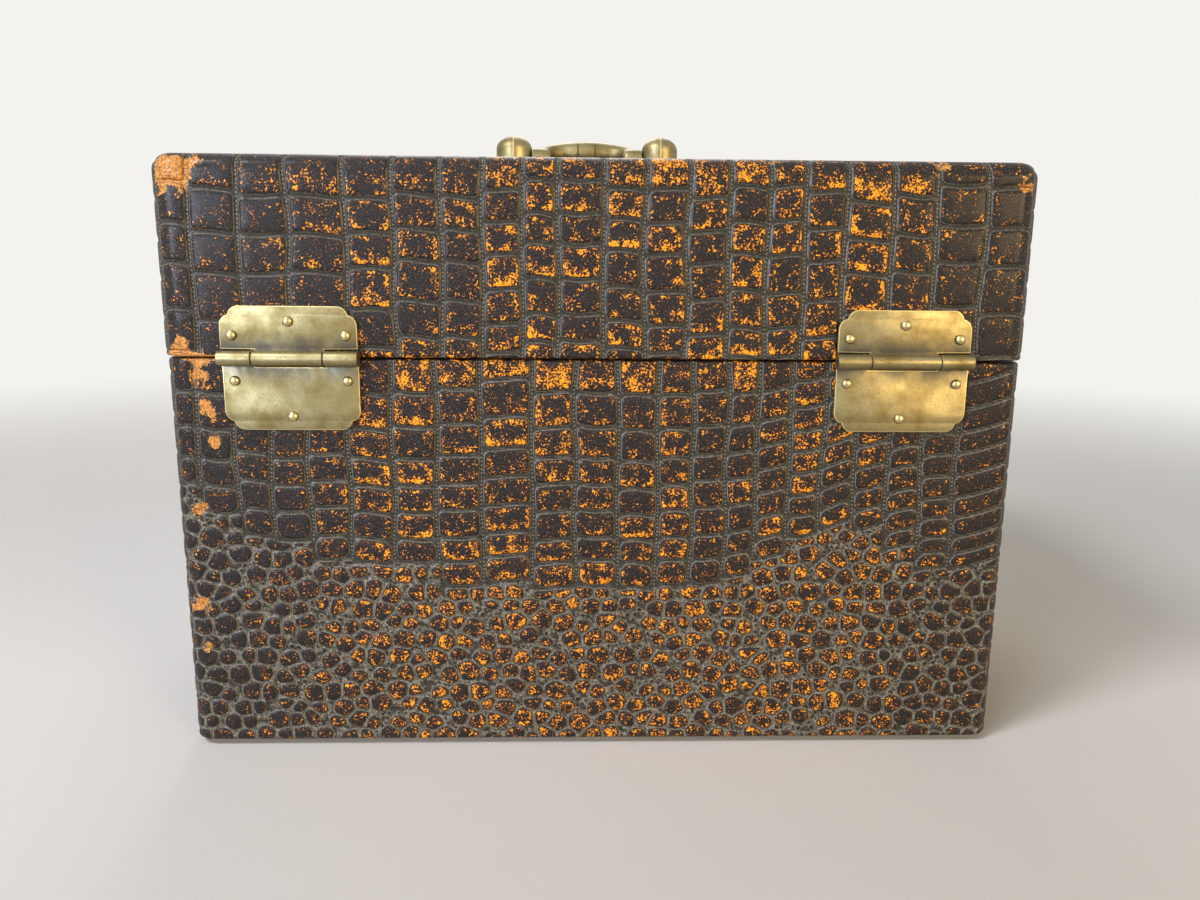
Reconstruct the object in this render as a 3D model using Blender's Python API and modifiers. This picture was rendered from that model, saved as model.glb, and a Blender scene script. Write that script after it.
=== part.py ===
"""Vanity case: a leather-covered box with a hinged lid, two front latches and a folding handle.

The back, with its two hinges, faces +Y and the latches face -Y. The origin is at the bottom centre
of the whole object. Lengths are in metres.
"""

import math

import bmesh
import bpy
from mathutils import Matrix, Vector

# Case
CASE_WIDTH = 0.318
CASE_DEPTH = 0.215
BASE_HEIGHT = 0.1496
SPLIT_GAP = 0.0012
LID_HEIGHT = 0.0692
LID_CROWN = 0.006
LID_OVERHANG = 0.0007
CORNER_RADIUS = 0.009
TOP_EDGE_RADIUS = 0.006
BOTTOM_EDGE_RADIUS = 0.0015
LEATHER_THICKNESS = 0.0012
BOARD_THICKNESS = 0.004
LINING_THICKNESS = 0.001

# Gaps
SEAT_GAP = 0.0003
PIN_CLEARANCE = 0.0001
OVERRUN = 0.002
MERGE_DISTANCE = 0.00001

# Rim that stands up out of the base and guides the lid
RIM_THICKNESS = 0.002
RIM_HEIGHT = 0.026
RIM_RISE = 0.006
RIM_CORNER_RADIUS = 0.004

# Feet
FOOT_HEIGHT = 0.002
FOOT_RADIUS = 0.0055
FOOT_PAD_RADIUS = 0.004
FOOT_SHANK_RADIUS = 0.0014
FOOT_SHANK_LENGTH = 0.0045
FOOT_INSET = 0.022

# Nails that fix the hinges and the latches
NAIL_HEAD_RADIUS = 0.00185
NAIL_HEAD_HEIGHT = 0.0011
NAIL_SHANK_RADIUS = 0.0008
NAIL_SHANK_LENGTH = 0.0058
NAIL_HOLE_CLEARANCE = 0.0002

# Hinges
HINGE_INSET = 0.0475
LEAF_WIDTH = 0.049
LEAF_THICKNESS = 0.0012
LID_LEAF_REACH = 0.0187
BASE_LEAF_REACH = 0.0262
LEAF_CORNER = 0.007
LEAF_CORNER_RADIUS = 0.005
BARREL_RADIUS = 0.00275
BARREL_OVERHANG = 0.0005
MIDDLE_KNUCKLE = 0.0254
KNUCKLE_NOTCH = 0.0032
HINGE_PIN_RADIUS = 0.0012
NAIL_SIDE_INSET = 0.0042
NAIL_NEAR_AXIS = 0.0082
LID_NAIL_FAR = 0.0132
BASE_NAIL_FAR = 0.0212
BARREL_STANDOFF = 0.0001

# Latches
LATCH_INSET = 0.064
LOCK_WIDTH = 0.044
LOCK_HEIGHT = 0.022
LOCK_THICKNESS = 0.006
LOCK_WALL = 0.001
LOCK_EDGE_RADIUS = 0.0015
LOCK_BELOW_SPLIT = 0.003
LOCK_EAR = 0.008
KEEPER_WIDTH = 0.024
KEEPER_HEIGHT = 0.016
KEEPER_ABOVE_SPLIT = 0.0037
KEEPER_NAIL_SHARE = 0.66
HASP_WIDTH = 0.013
HASP_THICKNESS = 0.0012
HASP_REACH = 0.0255
HASP_CURL = 0.001
HASP_CURL_HEIGHT = 0.0025
HASP_CLEARANCE = 0.0004
HASP_KNUCKLE_RADIUS = 0.0022
HASP_PIN_RADIUS = 0.0009
NOSE_WIDTH = 0.006
NOSE_HEIGHT = 0.005
NOSE_DEPTH = 0.004
NOSE_BELOW_TOP = 0.0046
NOSE_CLEARANCE = 0.0005
BOLT_CLEARANCE = 0.0008
BOLT_HEIGHT = 0.004
BOLT_THICKNESS = 0.0026
BUTTON_START = 0.008
BUTTON_WIDTH = 0.006
BUTTON_HEIGHT = 0.008
BUTTON_THICKNESS = 0.0021
BUTTON_NECK = 0.003
BUTTON_TRAVEL = 0.004
SPRING_STRIP = 0.0004

# Handle
HANDLE_OFFSET = 0.0037
LUG_SPACING = 0.0672
LUG_RADIUS = 0.0082
LUG_HEIGHT = 0.0175
LUG_DOME = 0.006
LUG_STUD_RADIUS = 0.0025
LUG_STUD_LENGTH = 0.0048
PIVOT_HEIGHT = 0.0078
TRUNNION_RADIUS = 0.0024
TRUNNION_LENGTH = 0.009
ELBOW_RADIUS = 0.0042
ELBOW_WIDTH = 0.0084
ELBOW_ROUNDING = 0.0022
BAIL_REACH = 0.025
BAIL_CORNER = 0.012
BAIL_ARM_RADIUS = 0.0034
GRIP_RADIUS = 0.0055
GRIP_RING = 0.0077
GRIP_GROOVE_WIDTH = 0.0008
GRIP_GROOVE_DEPTH = 0.0007
BAIL_REST_ANGLE = math.radians(12.8)

# Mirror inside the lid
MIRROR_SIDE_GAP = 0.0232
MIRROR_END_GAP = 0.0207
MIRROR_THICKNESS = 0.003
FRAME_MARGIN = 0.007
FRAME_LAP = 0.004
FRAME_THICKNESS = 0.0055

# Folding stay that holds the lid open
STAY_BACK_REACH = 0.060
STAY_PIVOT_RISE = 0.014
STAY_LINK_LENGTH = 0.055
STAY_LINK_WIDTH = 0.008
STAY_LINK_THICKNESS = 0.0012
STAY_RIVET_RADIUS = 0.0015
STAY_HEAD_RADIUS = 0.0028
STAY_HEAD_THICKNESS = 0.0006
STAY_PLATE = 0.012
STAY_PLATE_THICKNESS = 0.001

# Fineness of the round shapes
CORNER_SEGMENTS = 4
EDGE_SEGMENTS = 3
CROWN_CUTS = 6
NAIL_STEPS = 8
BARREL_STEPS = 12
LUG_STEPS = 16
DOME_STEPS = 4
NAIL_DOME_STEPS = 2
TUBE_RESOLUTION = 3
WALL_TILT = 0.001

# Places that follow from the sizes above
BACK_PROJECTION = SEAT_GAP + BARREL_STANDOFF + 2 * BARREL_RADIUS
LOCK_FRONT = LOCK_THICKNESS + SEAT_GAP - LID_OVERHANG
HASP_BACK = LOCK_FRONT + HASP_CLEARANCE
HASP_FRONT = HASP_BACK + HASP_THICKNESS
BUTTON_BACK = LOCK_FRONT + SEAT_GAP
FRONT_PROJECTION = max(HASP_FRONT + HASP_CURL, BUTTON_BACK + BUTTON_THICKNESS)
CENTRE_Y = (FRONT_PROJECTION - BACK_PROJECTION) / 2
BACK_Y = CENTRE_Y + CASE_DEPTH / 2
FRONT_Y = CENTRE_Y - CASE_DEPTH / 2
BASE_LOW = FOOT_HEIGHT
BASE_HIGH = BASE_LOW + BASE_HEIGHT
LID_LOW = BASE_HIGH + SPLIT_GAP
LID_HIGH = LID_LOW + LID_HEIGHT
BOARD_INSET = LEATHER_THICKNESS + SEAT_GAP
LINING_INSET = BOARD_INSET + BOARD_THICKNESS + SEAT_GAP
INNER_INSET = LINING_INSET + LINING_THICKNESS
HINGE_OFFSET = CASE_WIDTH / 2 - HINGE_INSET
BARREL_LENGTH = LEAF_WIDTH + 2 * BARREL_OVERHANG
NAIL_SIDE_OFFSET = LEAF_WIDTH / 2 - NAIL_SIDE_INSET
LATCH_OFFSET = CASE_WIDTH / 2 - LATCH_INSET
MIRROR_WIDTH = CASE_WIDTH - 2 * (INNER_INSET + MIRROR_SIDE_GAP + FRAME_MARGIN)
MIRROR_DEPTH = CASE_DEPTH - 2 * (INNER_INSET + MIRROR_END_GAP + FRAME_MARGIN)
HINGE_Y = BACK_Y + BACK_PROJECTION - BARREL_RADIUS
HINGE_Z = (BASE_HIGH + LID_LOW) / 2

# (u, v, w) drawn as seen from the back: u is +X, v is +Z and w is -Y
BACK_VIEW = Matrix(((1, 0, 0, 0), (0, 0, -1, 0), (0, 1, 0, 0), (0, 0, 0, 1)))
# (u, v, w) drawn as seen from the side: u runs forward, v is up and w is -X
SIDE_VIEW = Matrix(((0, 0, -1, 0), (-1, 0, 0, 0), (0, 1, 0, 0), (0, 0, 0, 1)))
OUT_BACK = Vector((0, 1, 0))
OUT_FRONT = Vector((0, -1, 0))
UP = Vector((0, 0, 1))
DOWN = Vector((0, 0, -1))
RIGHT = Vector((1, 0, 0))


def empty_the_scene():
    for obj in list(bpy.data.objects):
        bpy.data.objects.remove(obj, do_unlink=True)


def new_collection(name):
    collection = bpy.data.collections.new(name)
    bpy.context.scene.collection.children.link(collection)
    return collection


def new_material(name, colour, roughness, metallic=0.0):
    material = bpy.data.materials.new(name)
    material.use_nodes = True
    shader = material.node_tree.nodes["Principled BSDF"]
    shader.inputs["Base Color"].default_value = (*colour, 1.0)
    shader.inputs["Roughness"].default_value = roughness
    shader.inputs["Metallic"].default_value = metallic
    return material


def add_part(name, mesh, material, origin=(0, 0, 0)):
    """Link a mesh drawn in place as a part whose own origin is at `origin`."""
    mesh.transform(Matrix.Translation(-Vector(origin)))
    mesh.materials.append(material)
    part = bpy.data.objects.new(name, mesh)
    part.location = origin
    PARTS.objects.link(part)
    return part


def add_guide(name, mesh):
    """Link a mesh that only cuts or joins parts."""
    guide = bpy.data.objects.new(name, mesh)
    guide.hide_render = True
    guide.display_type = "WIRE"
    CUTTERS.objects.link(guide)
    return guide


def combine(part, guide, operation):
    modifier = part.modifiers.new(operation.lower() + " " + guide.name, "BOOLEAN")
    modifier.operation = operation
    modifier.solver = "EXACT"
    modifier.object = guide


def finish_mesh(bm, name):
    bmesh.ops.recalc_face_normals(bm, faces=bm.faces)
    mesh = bpy.data.meshes.new(name)
    bm.to_mesh(mesh)
    bm.free()
    return mesh


def join_meshes(name, meshes):
    """One mesh that holds several separate bodies, for a cutter."""
    bm = bmesh.new()
    for mesh in meshes:
        bm.from_mesh(mesh)
        bpy.data.meshes.remove(mesh)
    return finish_mesh(bm, name)


def box_mesh(name, low, high):
    low = Vector(low)
    high = Vector(high)
    bm = bmesh.new()
    bmesh.ops.create_cube(bm, size=1.0)
    bmesh.ops.scale(bm, vec=high - low, verts=bm.verts)
    bmesh.ops.translate(bm, vec=(high + low) / 2, verts=bm.verts)
    return finish_mesh(bm, name)


def cylinder_mesh(name, radius, start, end, steps=BARREL_STEPS):
    start = Vector(start)
    along = Vector(end) - start
    bm = bmesh.new()
    bmesh.ops.create_cone(
        bm, cap_ends=True, segments=steps, radius1=radius, radius2=radius, depth=along.length
    )
    turn = UP.rotation_difference(along).to_matrix().to_4x4()
    place = Matrix.Translation(start + along / 2) @ turn
    bmesh.ops.transform(bm, matrix=place, verts=bm.verts)
    return finish_mesh(bm, name)


def outline_mesh(name, outlines, thickness, place):
    """A plate drawn as closed outlines, where inner ones are holes, half its thickness to each side."""
    curve = bpy.data.curves.new(name, "CURVE")
    curve.dimensions = "2D"
    curve.fill_mode = "BOTH"
    curve.extrude = thickness / 2
    for outline in outlines:
        spline = curve.splines.new("POLY")
        spline.points.add(len(outline) - 1)
        for point, (u, v) in zip(spline.points, outline):
            point.co = (u, v, 0, 1)
        spline.use_cyclic_u = True
    return mesh_of_curve(name, curve, place)


def mesh_of_curve(name, curve, place):
    holder = bpy.data.objects.new(name + "_curve", curve)
    CUTTERS.objects.link(holder)
    graph = bpy.context.evaluated_depsgraph_get()
    drawn = bpy.data.meshes.new_from_object(holder.evaluated_get(graph))
    bm = bmesh.new()
    bm.from_mesh(drawn)
    bmesh.ops.remove_doubles(bm, verts=bm.verts, dist=MERGE_DISTANCE)
    bmesh.ops.transform(bm, matrix=place, verts=bm.verts)
    bpy.data.objects.remove(holder)
    bpy.data.curves.remove(curve)
    bpy.data.meshes.remove(drawn)
    return finish_mesh(bm, name)


def circle(centre, radius, steps=NAIL_STEPS):
    angles = [math.tau * i / steps for i in range(steps)]
    return [(centre[0] + radius * math.cos(a), centre[1] + radius * math.sin(a)) for a in angles]


def arc(centre, radius, start, end, segments=EDGE_SEGMENTS):
    """Points on an arc from one angle to another, both in degrees."""
    points = []
    for i in range(segments + 1):
        angle = math.radians(start + (end - start) * i / segments)
        points.append((centre[0] + radius * math.cos(angle), centre[1] + radius * math.sin(angle)))
    return points


def add_turned(name, profile, steps, material, seat, outward):
    """Turn a profile of (radius, height above the seat), given from its top to its bottom."""
    mesh = bpy.data.meshes.new(name)
    edges = [(i, i + 1) for i in range(len(profile) - 1)]
    mesh.from_pydata([(radius, 0, height) for radius, height in profile], edges, [])
    mesh.materials.append(material)
    part = bpy.data.objects.new(name, mesh)
    part.location = seat
    part.rotation_euler = UP.rotation_difference(outward).to_euler()
    PARTS.objects.link(part)
    screw = part.modifiers.new("turn", "SCREW")
    screw.axis = "Z"
    screw.steps = steps
    screw.render_steps = steps
    screw.use_merge_vertices = True
    screw.merge_threshold = MERGE_DISTANCE
    return part


def dome(radius, height, points=DOME_STEPS):
    """A quarter ellipse from the top of a dome to its rim."""
    angles = [math.pi / 2 * (1 - i / points) for i in range(points + 1)]
    return [(radius * math.cos(a) * (i > 0), height * math.sin(a)) for i, a in enumerate(angles)]


def add_nail(name, material, seat, outward):
    head = dome(NAIL_HEAD_RADIUS, NAIL_HEAD_HEIGHT, NAIL_DOME_STEPS)
    shank = [
        (NAIL_SHANK_RADIUS, 0),
        (NAIL_SHANK_RADIUS, -NAIL_SHANK_LENGTH),
        (0, -NAIL_SHANK_LENGTH),
    ]
    return add_turned(name, head + shank, NAIL_STEPS, material, seat, outward)


def drill(name, parts, seats, outward, radius, depth):
    """Cut round holes of one size into several parts at once."""
    holes = []
    for seat in seats:
        seat = Vector(seat)
        start = seat + outward * OVERRUN
        end = seat - outward * depth
        holes.append(cylinder_mesh(name, radius, start, end, NAIL_STEPS))
    cutter = add_guide(name, join_meshes(name, holes))
    for part in parts:
        combine(part, cutter, "DIFFERENCE")


def is_vertical(edge):
    a, b = edge.verts
    return abs(a.co.z - b.co.z) > (a.co.xy - b.co.xy).length


def open_box(half_width, half_depth, low, high, open_faces, corner_radius, edge_radius, crown):
    """A box without its open faces, with rounded corners, a rounded closed edge and a crowned top."""
    bm = bmesh.new()
    bmesh.ops.create_cube(bm, size=1.0)
    size = Vector((2 * half_width, 2 * half_depth, high - low))
    bmesh.ops.scale(bm, vec=size, verts=bm.verts)
    bmesh.ops.translate(bm, vec=(0, CENTRE_Y, (high + low) / 2), verts=bm.verts)
    if crown:
        top = [e for e in bm.edges if all(v.co.z > (high + low) / 2 for v in e.verts)]
        bmesh.ops.subdivide_edges(bm, edges=top, cuts=CROWN_CUTS, use_grid_fill=True)
    gone = [f for f in bm.faces if round(f.normal.z) in open_faces]
    bmesh.ops.delete(bm, geom=gone, context="FACES_ONLY")
    corners = [e for e in bm.edges if is_vertical(e)]
    bmesh.ops.bevel(
        bm, geom=corners, offset=corner_radius, segments=CORNER_SEGMENTS, profile=0.5, affect="EDGES"
    )
    if edge_radius > 0:
        rim = []
        for edge in bm.edges:
            normals = sorted(abs(face.normal.z) for face in edge.link_faces)
            if len(normals) == 2 and normals[0] < 0.5 < normals[1]:
                rim.append(edge)
        bmesh.ops.bevel(
            bm, geom=rim, offset=edge_radius, segments=EDGE_SEGMENTS, profile=0.5, affect="EDGES"
        )
    if crown:
        flat_width = half_width - edge_radius
        flat_depth = half_depth - edge_radius
        for vert in bm.verts:
            if vert.co.z > high - MERGE_DISTANCE:
                across = min(1.0, abs(vert.co.x) / flat_width)
                along = min(1.0, abs(vert.co.y - CENTRE_Y) / flat_depth)
                vert.co.z += crown * (1 - across**2) * (1 - along**2)
    curved = [f for f in bm.faces if abs(f.normal.z) > WALL_TILT]
    bmesh.ops.triangulate(bm, faces=curved, quad_method="FIXED")
    return bm


def add_shell(
    name, material, inset, low, high, open_faces, edge_radius, wall, crown=0.0, corner_radius=None
):
    """A thin wall that follows the case, `inset` inside the lid's outer face."""
    if corner_radius is None:
        corner_radius = CORNER_RADIUS - inset
    half_width = CASE_WIDTH / 2 - inset
    half_depth = CASE_DEPTH / 2 - inset
    bm = open_box(half_width, half_depth, low, high, open_faces, corner_radius, edge_radius, crown)
    mesh = bpy.data.meshes.new(name)
    bm.to_mesh(mesh)
    bm.free()
    part = add_part(name, mesh, material)
    solidify = part.modifiers.new("wall", "SOLIDIFY")
    solidify.thickness = wall
    solidify.offset = -1
    solidify.solidify_mode = "NON_MANIFOLD"
    solidify.nonmanifold_thickness_mode = "CONSTRAINTS"
    solidify.nonmanifold_merge_threshold = MERGE_DISTANCE
    return part


def build_base():
    """The lower box: board, leather outside, cloth inside and a rim that guides the lid."""
    open_top = (1,)
    low = BASE_LOW
    inset = LID_OVERHANG
    cover = add_shell(
        "base_cover", LEATHER, inset, low, BASE_HIGH, open_top, BOTTOM_EDGE_RADIUS, LEATHER_THICKNESS
    )
    inset = LID_OVERHANG + BOARD_INSET
    low = BASE_LOW + BOARD_INSET
    board = add_shell("base_board", WOOD, inset, low, BASE_HIGH, open_top, 0, BOARD_THICKNESS)
    inset = LID_OVERHANG + LINING_INSET
    low = BASE_LOW + LINING_INSET
    add_shell("base_lining", CLOTH, inset, low, BASE_HIGH, open_top, 0, LINING_THICKNESS)
    inset = LID_OVERHANG + INNER_INSET + SEAT_GAP
    high = BASE_HIGH + RIM_RISE
    add_shell(
        "base_rim",
        CLOTH,
        inset,
        high - RIM_HEIGHT,
        high,
        (1, -1),
        0,
        RIM_THICKNESS,
        corner_radius=RIM_CORNER_RADIUS,
    )
    return cover, board


def build_feet(shells):
    """Four flat-bottomed studs driven up into the base."""
    head = [(FOOT_SHANK_RADIUS, FOOT_SHANK_LENGTH), (FOOT_SHANK_RADIUS, 0), (FOOT_RADIUS, 0)]
    reach = FOOT_HEIGHT - SEAT_GAP
    pad = [(FOOT_RADIUS, -reach / 2), (FOOT_PAD_RADIUS, -reach), (0, -reach)]
    profile = [(0, FOOT_SHANK_LENGTH)] + head + pad
    seats = []
    for front, side_y in (("front", -1), ("back", 1)):
        for side, side_x in (("left", -1), ("right", 1)):
            x = side_x * (CASE_WIDTH / 2 - FOOT_INSET)
            y = CENTRE_Y + side_y * (CASE_DEPTH / 2 - FOOT_INSET)
            seat = (x, y, BASE_LOW - SEAT_GAP)
            add_turned(f"foot_{front}_{side}", profile, BARREL_STEPS, BRASS, seat, UP)
            seats.append(seat)
    radius = FOOT_SHANK_RADIUS + NAIL_HOLE_CLEARANCE
    drill("foot_holes", shells, seats, DOWN, radius, FOOT_SHANK_LENGTH + OVERRUN)


def build_lid():
    """The upper box, with a slightly crowned top."""
    open_bottom = (-1,)
    cover = add_shell(
        "lid_cover",
        LEATHER,
        0,
        LID_LOW,
        LID_HIGH,
        open_bottom,
        TOP_EDGE_RADIUS,
        LEATHER_THICKNESS,
        LID_CROWN,
    )
    board = add_shell(
        "lid_board",
        WOOD,
        BOARD_INSET,
        LID_LOW,
        LID_HIGH - BOARD_INSET,
        open_bottom,
        TOP_EDGE_RADIUS - BOARD_INSET,
        BOARD_THICKNESS,
        LID_CROWN,
    )
    high = LID_HIGH - LINING_INSET
    add_shell("lid_lining", CLOTH, LINING_INSET, LID_LOW, high, open_bottom, 0, LINING_THICKNESS)
    return cover, board


def build_mirror():
    """A mirror in a rebated frame, flat against the lining of the lid."""
    high = LID_HIGH - INNER_INSET - SEAT_GAP
    outer = Vector((MIRROR_WIDTH / 2 + FRAME_MARGIN, MIRROR_DEPTH / 2 + FRAME_MARGIN, 0))
    centre = Vector((0, CENTRE_Y, 0))
    low = high - FRAME_THICKNESS
    bars = box_mesh("frame", centre - outer + UP * low, centre + outer + UP * high)
    frame = add_part("mirror_frame", bars, FRAME)
    sight = Vector((MIRROR_WIDTH / 2 - FRAME_LAP, MIRROR_DEPTH / 2 - FRAME_LAP, 0))
    below = UP * (low - OVERRUN)
    above = UP * (high + OVERRUN)
    opening = box_mesh("frame_opening", centre - sight + below, centre + sight + above)
    combine(frame, add_guide("frame_opening", opening), "DIFFERENCE")
    glass = Vector((MIRROR_WIDTH / 2, MIRROR_DEPTH / 2, 0))
    bottom = high - SEAT_GAP - MIRROR_THICKNESS
    rebate = glass + Vector((SEAT_GAP, SEAT_GAP, 0))
    shelf = UP * (bottom - SEAT_GAP)
    step = box_mesh("frame_rebate", centre - rebate + shelf, centre + rebate + above)
    combine(frame, add_guide("frame_rebate", step), "DIFFERENCE")
    top = UP * (bottom + MIRROR_THICKNESS)
    add_part("mirror", box_mesh("mirror", centre - glass + UP * bottom, centre + glass + top), MIRROR)


def scalloped_corner(half_width, reach):
    """The outer corner of a leaf: two round lobes that meet in a notch."""
    radius = LEAF_CORNER_RADIUS
    both = radius + LEAF_CORNER
    notch = (both - math.sqrt(both**2 - 2 * LEAF_CORNER**2)) / 2
    meet = math.degrees(math.atan2(LEAF_CORNER - notch, radius - notch))
    side = arc((half_width - radius, reach - LEAF_CORNER), radius, 0, meet)
    end = arc((half_width - LEAF_CORNER, reach - radius), radius, 90 - meet, 90)
    return side + end[1:]


def mirrored(points):
    """A half outline at +u and its copy at -u, as one closed outline."""
    return points + [(-u, v) for u, v in reversed(points)]


def turned_down(points):
    return [(-u, -v) for u, v in points]


def build_hinge(side_name, side, base_shells, lid_shells):
    """A butt hinge on the back: the lid's leaf has the middle knuckle, the base's leaf the outer two."""
    centre = Vector((side * HINGE_OFFSET, 0, HINGE_Z))
    half = LEAF_WIDTH / 2
    tongue = MIDDLE_KNUCKLE / 2 - SEAT_GAP / 2
    gap = MIDDLE_KNUCKLE / 2 + SEAT_GAP / 2
    root = LEAF_THICKNESS / 3
    inset = SEAT_GAP / 2
    shoulder = KNUCKLE_NOTCH + inset
    lid_half = [(tongue - inset, root), (tongue - inset, KNUCKLE_NOTCH), (half, shoulder)]
    lid_half += scalloped_corner(half, LID_LEAF_REACH)
    base_half = [(gap + inset, KNUCKLE_NOTCH), (gap + inset, root), (half, root)]
    base_half += scalloped_corner(half, BASE_LEAF_REACH)
    lid_nails = [
        (-NAIL_SIDE_OFFSET, NAIL_NEAR_AXIS),
        (0, LID_NAIL_FAR),
        (NAIL_SIDE_OFFSET, NAIL_NEAR_AXIS),
    ]
    base_nails = [
        (-NAIL_SIDE_OFFSET, -NAIL_NEAR_AXIS),
        (0, -BASE_NAIL_FAR),
        (NAIL_SIDE_OFFSET, -NAIL_NEAR_AXIS),
    ]
    bore = add_guide(
        f"hinge_bore_{side_name}",
        cylinder_mesh(
            "bore",
            HINGE_PIN_RADIUS + PIN_CLEARANCE,
            (centre.x - BARREL_LENGTH / 2 - OVERRUN, HINGE_Y, HINGE_Z),
            (centre.x + BARREL_LENGTH / 2 + OVERRUN, HINGE_Y, HINGE_Z),
        ),
    )
    hole = NAIL_SHANK_RADIUS + NAIL_HOLE_CLEARANCE
    knuckles = {
        "lid": [(-tongue, tongue)],
        "base": [(-BARREL_LENGTH / 2, -gap), (gap, BARREL_LENGTH / 2)],
    }
    plates = {
        "lid": (mirrored(lid_half), lid_nails, BACK_Y, lid_shells),
        "base": (turned_down(mirrored(base_half)), base_nails, BACK_Y - LID_OVERHANG, base_shells),
    }
    for half_name, (outline, nails, face, shells) in plates.items():
        plate_y = face + SEAT_GAP + LEAF_THICKNESS / 2
        place = Matrix.Translation((centre.x, plate_y, HINGE_Z)) @ BACK_VIEW
        holes = [circle(nail, hole) for nail in nails]
        name = f"hinge_{half_name}_leaf_{side_name}"
        plate = outline_mesh(name, [outline] + holes, LEAF_THICKNESS, place)
        leaf = add_part(name, plate, BRASS, (centre.x, HINGE_Y, HINGE_Z))
        for number, (start, end) in enumerate(knuckles[half_name]):
            barrel = cylinder_mesh(
                "knuckle",
                BARREL_RADIUS,
                (centre.x + start, HINGE_Y, HINGE_Z),
                (centre.x + end, HINGE_Y, HINGE_Z),
            )
            combine(leaf, add_guide(f"{name}_knuckle_{number}", barrel), "UNION")
        combine(leaf, bore, "DIFFERENCE")
        head_y = face + 2 * SEAT_GAP + LEAF_THICKNESS
        seats = [Vector((centre.x + u, head_y, HINGE_Z + v)) for u, v in nails]
        for number, seat in enumerate(seats):
            add_nail(f"nail_hinge_{half_name}_{side_name}_{number + 1}", NAIL_BRASS, seat, OUT_BACK)
        drill(f"{name}_holes", shells, seats, OUT_BACK, hole, NAIL_SHANK_LENGTH + OVERRUN)
    pin = cylinder_mesh(
        "pin",
        HINGE_PIN_RADIUS,
        (centre.x - BARREL_LENGTH / 2, HINGE_Y, HINGE_Z),
        (centre.x + BARREL_LENGTH / 2, HINGE_Y, HINGE_Z),
    )
    add_part(f"hinge_pin_{side_name}", pin, BRASS)


def front(depth):
    """The Y of a plane that stands `depth` out from the lid's front face."""
    return FRONT_Y - depth


def front_box(name, x, low, high):
    """A box on the front, given as (x, depth out of the lid's front face, z) of its two corners."""
    corner = (x + low[0], front(high[1]), low[2])
    return box_mesh(name, corner, (x + high[0], front(low[1]), high[2]))


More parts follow.
